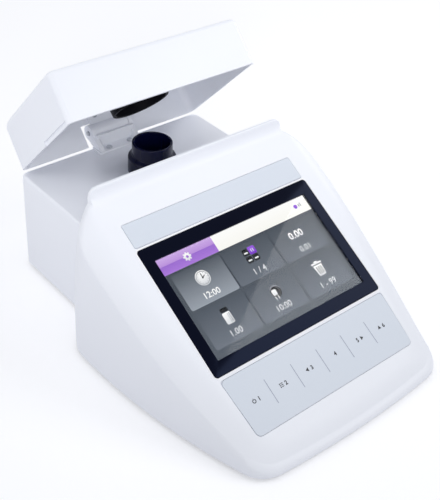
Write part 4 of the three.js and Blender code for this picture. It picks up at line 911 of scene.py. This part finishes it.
# Each sign is a list of its shapes: tone, layer, shape, place from the sign's middle, sizes.
HOURS = math.pi / 6 * np.arange(12)
TEETH = math.pi / 4 * np.arange(8)
PLAIN_KEYS = [(-3.3, 3.3), (-3.3, -3.3), (3.3, -3.3)]
CLOCK = [
    ("light", 0, disc, 0, 0, 5.2), ("light", 0, hoop, 0, 0, 6.4, 5.7),
    ("dark", 1, bar, 0, 0, 0, 3.8, 0.7), ("dark", 1, bar, 0, 0, 2.6, 1.6, 0.7),
    ("dark", 1, disc, 0, 0, 0.7, 12),
    *[("grey", 1, box, 4.3 * math.cos(a), 4.3 * math.sin(a), 0.5, 1) for a in HOURS],
]
FOUR_KEYS = [
    *[("dark", 0, box, x, y, 5.8, 5.8, 1, 3) for x, y in PLAIN_KEYS],
    *[("light", 1, box, x, y - 0.6, 3.6, 1.3) for x, y in PLAIN_KEYS],
    ("purple", 1, box, 3.3, 3.3, 6.8, 6.8, 1, 3),
    *[("light", 2, bar, 3.3 + i, 1.9, 0, 2.8, 0.6) for i in (-0.9, 0.9)],
]
DIGITS = [("light", 0, lettering, -0.4, -0.4, "0.00", 8.6, 0.03)]
VIAL = [
    ("light", 0, box, 0, -2, 7.2, 9.6, 1, 3), ("dark", 0, box, 0, 5, 6.8, 3.4, 0.6, 3),
    ("grey", 1, box, 2.4, -2, 0.9, 8), ("grey", 1, box, 0.9, -2, 0.5, 8),
]
PLUG = [
    ("dark", 0, disc, 0.6, -0.6, 5.2), ("dark", 0, bar, 3.6, 2.6, 3.4, 3.6, 1),
    ("light", 1, box, -1.2, -1, 4.4, 5, 0.8, 3), ("light", 1, bar, -2.6, -4.2, 0, -3, 0.8),
    ("light", 1, bar, 0.2, -4.2, 0, -3, 0.8), ("grey", 1, hoop, 0.6, -0.6, 5.2, 4.6, 10, 150, 16),
]
BIN = [
    ("light", 0, polygon, 0, 0, [(-3.4, -6.2), (3.4, -6.2), (4.5, 3.2), (-4.5, 3.2)]),
    ("light", 0, box, 0, 4.7, 10.8, 1.5), ("light", 0, box, 0, 6.1, 3.8, 1.2),
    *[("dark", 1, bar, i * 1.8, -4.8, i * 0.5, 6.6, 0.7) for i in (-1, 0, 1)],
]
GEAR = [
    *[("light", 0, bar, 2.3 * math.cos(a), 2.3 * math.sin(a), 1.4 * math.cos(a), 1.4 * math.sin(a), 1.3)
      for a in TEETH],
    ("light", 1, hoop, 0, 0, 2.8, 1.2),
]
LINK = [
    ("purple", 0, disc, 0, 0.4, 1.9),
    ("grey", 0, box, 3.6, 0.4, 1.1, 2.4), ("grey", 0, box, 5.4, 0.9, 1.1, 3.4),
]
TILE_SIGNS = [CLOCK, FOUR_KEYS, DIGITS, VIAL, PLUG, BIN]


def screen_picture():
    """The lit menu: a title bar over six tiles, each with a plain sign over a number."""
    starts = SCREEN_TOP + 2 * LAYER * np.arange(LAYER_COUNT)
    ground, panes, shades, *drawing = [(start, start + LAYER) for start in starts]
    top = DISPLAY_CENTRE + DISPLAY_HEIGHT / 2
    bar_y = top - BAR_HEIGHT / 2
    pale, deep = BAR_HEIGHT * TAB_SPLIT_SHARE, BAR_HEIGHT * (1 - TAB_SPLIT_SHARE)
    tiles = [box(panes, x, y, *TILE_SIZE, TILE_RADIUS, TILE_CORNER_STEPS) for x, y in TILE_PLACES]
    edge_x = (TILE_SIZE[0] + SHADE_SIZE[0]) / 2
    edges = [box(shades, x + edge_x, y - SHADE_DROP, *SHADE_SIZE, SHADE_RADIUS)
             for x, y in TILE_PLACES if x <= 0]
    for name, forms, material in [
        ("screen_background", [box(ground, 0, DISPLAY_CENTRE, DISPLAY_WIDTH, DISPLAY_HEIGHT)], SCREEN_GREY),
        ("screen_title_bar", [box(panes, 0, bar_y, DISPLAY_WIDTH, BAR_HEIGHT)], BAR_CREAM),
        ("screen_tab_upper", [box(shades, TAB_X, top - pale / 2, TAB_WIDTH, pale)], TAB_PALE),
        ("screen_tab_lower", [box(shades, TAB_X, top - pale - deep / 2, TAB_WIDTH, deep)], TAB_DEEP),
        ("screen_tile_chosen", tiles[:1], TILE_CHOSEN),
        ("screen_tiles_upper", tiles[1:3], TILE_UPPER),
        ("screen_tiles_lower", tiles[3:], TILE_LOWER),
        ("screen_tile_shades", edges, TILE_SHADE),
    ]:
        on_screen(name, forms, material)

    tones = {"light": [], "grey": [], "dark": [], "purple": []}
    placed = [(x, y + SIGN_RISE, sign) for (x, y), sign in zip(TILE_PLACES, TILE_SIGNS)]
    for x, y, sign in [*placed, (TAB_X, bar_y, GEAR), (LINK_X, bar_y, LINK)]:
        for tone, layer, shape, run_x, run_y, *sizes in sign:
            tones[tone].append(shape(drawing[layer], x + run_x, y + run_y, *sizes))
    for (tone, forms), material in zip(tones.items(), [ICON_WHITE, ICON_GREY, ICON_DARK, ICON_PURPLE]):
        on_screen(f"screen_signs_{tone}", forms, material)
    captions = [lettering(drawing[0], x, y - CAPTION_DROP, text, CAPTION_SIZE, CAPTION_WEIGHT)
                for (x, y), text in zip(TILE_PLACES, CAPTIONS)]
    on_screen("screen_number_chosen", captions[:1], CAPTION_WHITE)
    on_screen("screen_numbers", captions[1:], CAPTION_GREY)


INK_LIFT = 0.01
INK_THICKNESS = 0.04
DIVIDER_SIZE = (0.5, 20.0)
DIVIDER_RADIUS = 0.1
KEY_NUMBER_SIZE = 4.6
KEY_NUMBER_WEIGHT = 0.03
KEY_SIGN_SHIFT = 3.2

# Each key's sign: the side that its number is on, and shapes with their place from the sign's middle.
KEY_SIGNS = [
    (1, [(hoop, 0, 0, 1.7, 1.1, 120, 420, 20), (bar, 0, 0.4, 0, 1.7, 0.45)]),
    (1, [(box, x, y, width, height) for x, width, height in ((-1, 0.9, 0.9), (1, 2, 0.6))
         for y in (-1.3, 0, 1.3)]),
    (1, [(polygon, 0, 0, [(-1.6, 0), (1.2, -1.7), (1.2, 1.7)])]),
    (0, []),
    (-1, [(polygon, 0, 0, [(-1.2, -1.7), (1.6, 0), (-1.2, 1.7)])]),
    (1, [(polygon, 0, 0, [(-1.7, -1.2), (1.7, -1.2), (0, 1.6)])]),
]


def key_signs():
    """The keypad's printed lines and signs, on top of its film."""
    foot = GAP - STRIP_RECESS + STRIP_THICKNESS + INK_LIFT
    ink = (foot, foot + INK_THICKNESS)
    lines = [box(ink, x + KEY_PITCH / 2, KEYPAD_CENTRE, *DIVIDER_SIZE, DIVIDER_RADIUS)
             for x in KEY_PLACES[:-1]]
    dressed(mesh_of("key_divider_lines", joined(*lines), PANEL_PLACE), PRINT_LINE)
    signs, numbers = [], []
    for i, (key_x, (side, shapes)) in enumerate(zip(KEY_PLACES, KEY_SIGNS)):
        shift = side * KEY_SIGN_SHIFT
        signs += [shape(ink, key_x - shift + x, KEYPAD_CENTRE + y, *sizes) for shape, x, y, *sizes in shapes]
        numbers.append(lettering(ink, key_x + shift / 2, KEYPAD_CENTRE, str(i + 1), KEY_NUMBER_SIZE,
                                 KEY_NUMBER_WEIGHT))
    dressed(mesh_of("key_signs", joined(*signs, *numbers), PANEL_PLACE), PRINT_GREY)


# Screws by a rule

SCREW_SIZES = {"Head Radius": 3.4, "Head Height": 1.5, "Slot Width": 0.8, "Shank Radius": 1.6,
               "Shank Length": 15.0}
HEAD_STEPS = 24
SHANK_STEPS = 16
HEAD_TAPER_SHARE = 0.84
SLOT_LENGTH_SHARE = 1.3
SHANK_RISE_SHARE = 0.49


def group_tree(name, sockets):
    """A geometry node tree that takes a mesh and the sockets named, and what they give inside it."""
    tree = bpy.data.node_groups.new(name, "GeometryNodeTree")
    for label, kind in {"Geometry": "Geometry", **sockets}.items():
        tree.interface.new_socket(label, in_out="INPUT", socket_type=f"NodeSocket{kind}")
    tree.interface.new_socket("Geometry", in_out="OUTPUT", socket_type="NodeSocketGeometry")
    return tree, add_node(tree, "NodeGroupInput").outputs


def screw_tree():
    """A pan head with a crossed recess, and its shank above it, at each point of the mesh given."""
    sockets = {**dict.fromkeys(SCREW_SIZES, "Float"), "Material": "Material"}
    tree, given = group_tree("pan_head_screws", sockets)

    def lifted(mesh, size, share, turn=0.0):
        """A mesh raised by a share of one of the sizes."""
        height = add_node(tree, "ShaderNodeMath", {0: given[size], 1: share}, operation="MULTIPLY")
        offset = add_node(tree, "ShaderNodeCombineXYZ", {"Z": height})
        return add_node(tree, "GeometryNodeTransform", {
            "Geometry": mesh, "Translation": offset, "Rotation": (0, 0, turn)}).outputs[0]

    foot_radius, slot_length = [
        add_node(tree, "ShaderNodeMath", {0: given["Head Radius"], 1: share}, operation="MULTIPLY")
        for share in (HEAD_TAPER_SHARE, SLOT_LENGTH_SHARE)]
    head = add_node(tree, "GeometryNodeMeshCone", {
        "Vertices": HEAD_STEPS, "Radius Bottom": foot_radius, "Radius Top": given["Head Radius"],
        "Depth": given["Head Height"]})
    shank = add_node(tree, "GeometryNodeMeshCylinder", {
        "Vertices": SHANK_STEPS, "Radius": given["Shank Radius"], "Depth": given["Shank Length"]})
    slot = add_node(tree, "ShaderNodeCombineXYZ", {
        "X": slot_length, "Y": given["Slot Width"], "Z": given["Head Height"]})
    cutter = add_node(tree, "GeometryNodeMeshCube", {"Size": slot})
    whole = add_node(tree, "GeometryNodeMeshBoolean", operation="UNION", solver="EXACT")
    for mesh in (lifted(head, "Head Height", -0.5), lifted(shank, "Shank Length", SHANK_RISE_SHARE)):
        tree.links.new(mesh, whole.inputs["Mesh 2"])
    screw = add_node(tree, "GeometryNodeMeshBoolean", {"Mesh 1": whole}, operation="DIFFERENCE",
                     solver="EXACT")
    for turn in (0, math.pi / 2):
        tree.links.new(lifted(cutter, "Head Height", -1.0, turn), screw.inputs["Mesh 2"])
    placed = add_node(tree, "GeometryNodeInstanceOnPoints", {"Points": given["Geometry"], "Instance": screw})
    real = add_node(tree, "GeometryNodeRealizeInstances", {"Geometry": placed})
    painted = add_node(tree, "GeometryNodeSetMaterial", {"Geometry": real, "Material": given["Material"]})
    add_node(tree, "NodeGroupOutput", {"Geometry": painted})
    return tree


def base_screws():
    """The screws under the base plate that hold the housings and the optics block."""
    names = [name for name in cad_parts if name.startswith(("housing_screw_", "optics_screw_"))]
    spans = [span(name) for name in names]
    spots = [(*((low + high) / 2)[:2], low[2] + SCREW_SIZES["Head Height"]) for low, high in spans]
    piece = mesh_of("base_screws", (spots, []))
    modifier = piece.modifiers.new("screws", "NODES")
    modifier.node_group = screw_tree()
    sockets = {item.name: item.identifier for item in modifier.node_group.interface.items_tree
               if item.in_out == "INPUT"}
    for name, size in SCREW_SIZES.items():
        modifier[sockets[name]] = size * MM
    modifier[sockets["Material"]] = ZINC_STEEL
    piece.data = evaluated_mesh(piece)
    piece.modifiers.clear()
    dressed(piece, ZINC_STEEL, replaces=names)


# The CAD pieces that stay get their finishes, and rounded faces shade smoothly.

NODE_FINISHES = [
    (PANEL_FILM, ["header_strip", "keypad_overlay"]),
    (COVER_GLASS, ["display_glass", "lamp_lens"]),
    (WHITE_ABS, ["hinge_bracket", "lid_hinge_leaf"]),
    (BASE_ABS, ["base_plate"]),
    (BLACK_ABS, ["screen_module", "sample_well", "optics_block", "transmitted_light_detector",
                 "scattered_light_detector", "power_jack", "friction_sleeve"]),
    (LAMP_STEEL, ["lamp_module", "data_port", "hinge_pin", "screen_tray"]),
    (GREEN_BOARD, ["display_board", "key_board", "main_board", "socket_board"]),
    (KEY_SILICONE, [f"key_plunger_{i + 1}" for i in range(KEY_COUNT)]),
    (FOOT_RUBBER, [f"{end}_{side}_foot" for end in ("front", "rear") for side in ("left", "right")]),
]
SMOOTH_LIMIT = math.radians(34)
MERGE_DISTANCE = 1e-6


def shading_tree():
    """Merges a CAD mesh's loose triangles and shades its rounded faces smoothly."""
    tree, given = group_tree("rounded_faces", {"Edge Angle": "Float"})
    tree.interface.items_tree["Edge Angle"].default_value = SMOOTH_LIMIT
    merged = add_node(tree, "GeometryNodeMergeByDistance", {
        "Geometry": given["Geometry"], "Distance": MERGE_DISTANCE})
    smooth = add_node(tree, "GeometryNodeSetShadeSmooth", {
        "Geometry": merged, "Shade Smooth": True}, domain="FACE")
    angle = add_node(tree, "GeometryNodeInputMeshEdgeAngle")
    sharp = add_node(tree, "FunctionNodeCompare", {0: angle, 1: given["Edge Angle"]},
                     data_type="FLOAT", operation="GREATER_THAN")
    creased = add_node(tree, "GeometryNodeSetShadeSmooth", {
        "Geometry": smooth, "Selection": sharp, "Shade Smooth": False}, domain="EDGE")
    add_node(tree, "NodeGroupOutput", {"Geometry": creased})
    return tree


def finish_cad_nodes():
    finishes = {name: material for material, names in NODE_FINISHES for name in names}
    tree = shading_tree()
    for name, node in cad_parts.items():
        node.data.materials.clear()
        node.data.materials.append(finishes.get(name, ZINC_STEEL))
        if not node.hide_render:
            node.modifiers.new("rounded_faces", "NODES").node_group = tree


# Floor and light

FLOOR_REACH = 6000.0
FLOOR_LIFT = 0.32
AMBIENT = 0.67
AMBIENT_TINT = (0.95, 0.97, 1.0, 1)
WHITE = (1, 1, 1, 1)
# Each round lamp's name, power in watts, width in degrees, and place and aim in metres.
ROUND_LAMPS = [
    ("lid_lamp", 15.5, 24, (-0.8, -0.85, 0.62), (-0.02, 0.09, 0.14)),
    ("side_lamp", 3.5, 40, (-0.6, 0.3, 0.5), (0, 0.1, 0.12)),
    ("deck_lamp", 7.0, 22, (0.62, 0.05, 0.36), (0, 0.1, 0.1)),
]
LAMP_RADIUS = 0.14
CARD_REACH_SHARE = 2.8
CARD_SPREAD_SHARE = 1.7
CARD_POWER = 4.5


def seen_directly(tree):
    """One for what the camera sees, also in gloss and through glass, and zero for other light."""
    rays = add_node(tree, "ShaderNodeLightPath").outputs
    seen = rays["Is Camera Ray"]
    for ray in ("Is Glossy Ray", "Is Transmission Ray"):
        seen = add_node(tree, "ShaderNodeMath", {0: seen, 1: rays[ray]}, operation="MAXIMUM")
    return seen


def stage():
    """A pale floor that keeps the soft shadow, and a white surround for the eye."""
    material, tree = new_material("pale_floor")
    lift = add_node(tree, "ShaderNodeMath", {0: seen_directly(tree), 1: FLOOR_LIFT}, operation="MULTIPLY")
    glow = add_node(tree, "ShaderNodeEmission", {"Color": WHITE, "Strength": lift})
    paper = add_node(tree, "ShaderNodeBsdfDiffuse", {"Color": "#EDEDF0"})
    surface = add_node(tree, "ShaderNodeAddShader", {0: glow, 1: paper})
    add_node(tree, "ShaderNodeOutputMaterial", {"Surface": surface})
    corners = [(x * FLOOR_REACH, y * FLOOR_REACH, 0) for x, y in ((-1, -1), (1, -1), (1, 1), (-1, 1))]
    floor = mesh_of("floor", (corners, [(0, 1, 2, 3)]), Matrix())
    floor.data.materials.append(material)

    world = bpy.data.worlds.new("surround")
    bpy.context.scene.world = world
    world.use_nodes = True
    tree = world.node_tree
    tree.nodes.clear()
    seen = seen_directly(tree)
    strength = add_node(tree, "ShaderNodeMapRange", {"Value": seen, "To Min": AMBIENT, "To Max": 1.0})
    colour = add_node(tree, "ShaderNodeMix", {
        "Factor": seen, FIRST: AMBIENT_TINT, SECOND: WHITE}, data_type="RGBA")
    light = add_node(tree, "ShaderNodeBackground", {"Color": colour.outputs[MIXED], "Strength": strength})
    add_node(tree, "ShaderNodeOutputWorld", {"Surface": light})
    bpy.context.scene.view_settings.view_transform = "Standard"


def lamp(name, kind, power, place, turn):
    """A lamp at its place, turned to shine along its own -Z."""
    light = shown(name, bpy.data.lights.new(name, kind))
    light.data.energy = power
    light.matrix_world = Matrix.Translation(place) @ turn.to_4x4()
    return light.data


def round_lamp(name, power, degrees, place, aim):
    """A soft lamp that fades out from its middle, so that it lights one part of the object most."""
    turn = (Vector(aim) - Vector(place)).to_track_quat("-Z", "Y").to_matrix()
    light = lamp(name, "SPOT", power, place, turn)
    light.spot_size = math.radians(degrees)
    light.spot_blend = 1.0
    light.shadow_soft_size = LAMP_RADIUS


def card_light():
    """A soft card of light whose mirror image, as the camera sees it in the display, fills the lower
    right half: its edge lies along the line from the frame's upper right corner to its lower left."""
    corner_x, low_s = BEZEL_WIDTH / 2, BEZEL_CENTRE - BEZEL_HEIGHT / 2
    spots = [(corner_x, low_s + BEZEL_HEIGHT), (-corner_x, low_s), (corner_x, low_s)]
    upper, lower, outer = [(PANEL_PLACE @ Vector((x, s, BEZEL_PROUD))) * MM for x, s in spots]
    normal = (upper - lower).cross(outer - lower).normalized()
    eye = Vector(CAMERA_PLACE) * MM
    image = eye - 2 * (eye - lower).dot(normal) * normal
    first, second, third = [image + (spot - image) * CARD_REACH_SHARE for spot in (upper, lower, outer)]
    along = first - second
    across = (third - second) - (third - second).project(along)
    width, height = along.length * CARD_SPREAD_SHARE, across.length * CARD_SPREAD_SHARE
    x, y = along.normalized(), across.normalized()
    centre = (first + second) / 2 + y * height / 2
    z = x.cross(y)
    if z.dot(lower - centre) > 0:
        x, z = -x, -z
    light = lamp("card_light", "AREA", CARD_POWER, centre, Matrix((x, y, z)).transposed())
    light.shape = "RECTANGLE"
    light.size, light.size_y = width, height


console_casing()
compartment_casing()
port_collar()
lid_cover()
light_seal()
display_frame()
screen_picture()
key_signs()
base_screws()
finish_cad_nodes()
stage()
for round_one in ROUND_LAMPS:
    round_lamp(*round_one)
card_light()
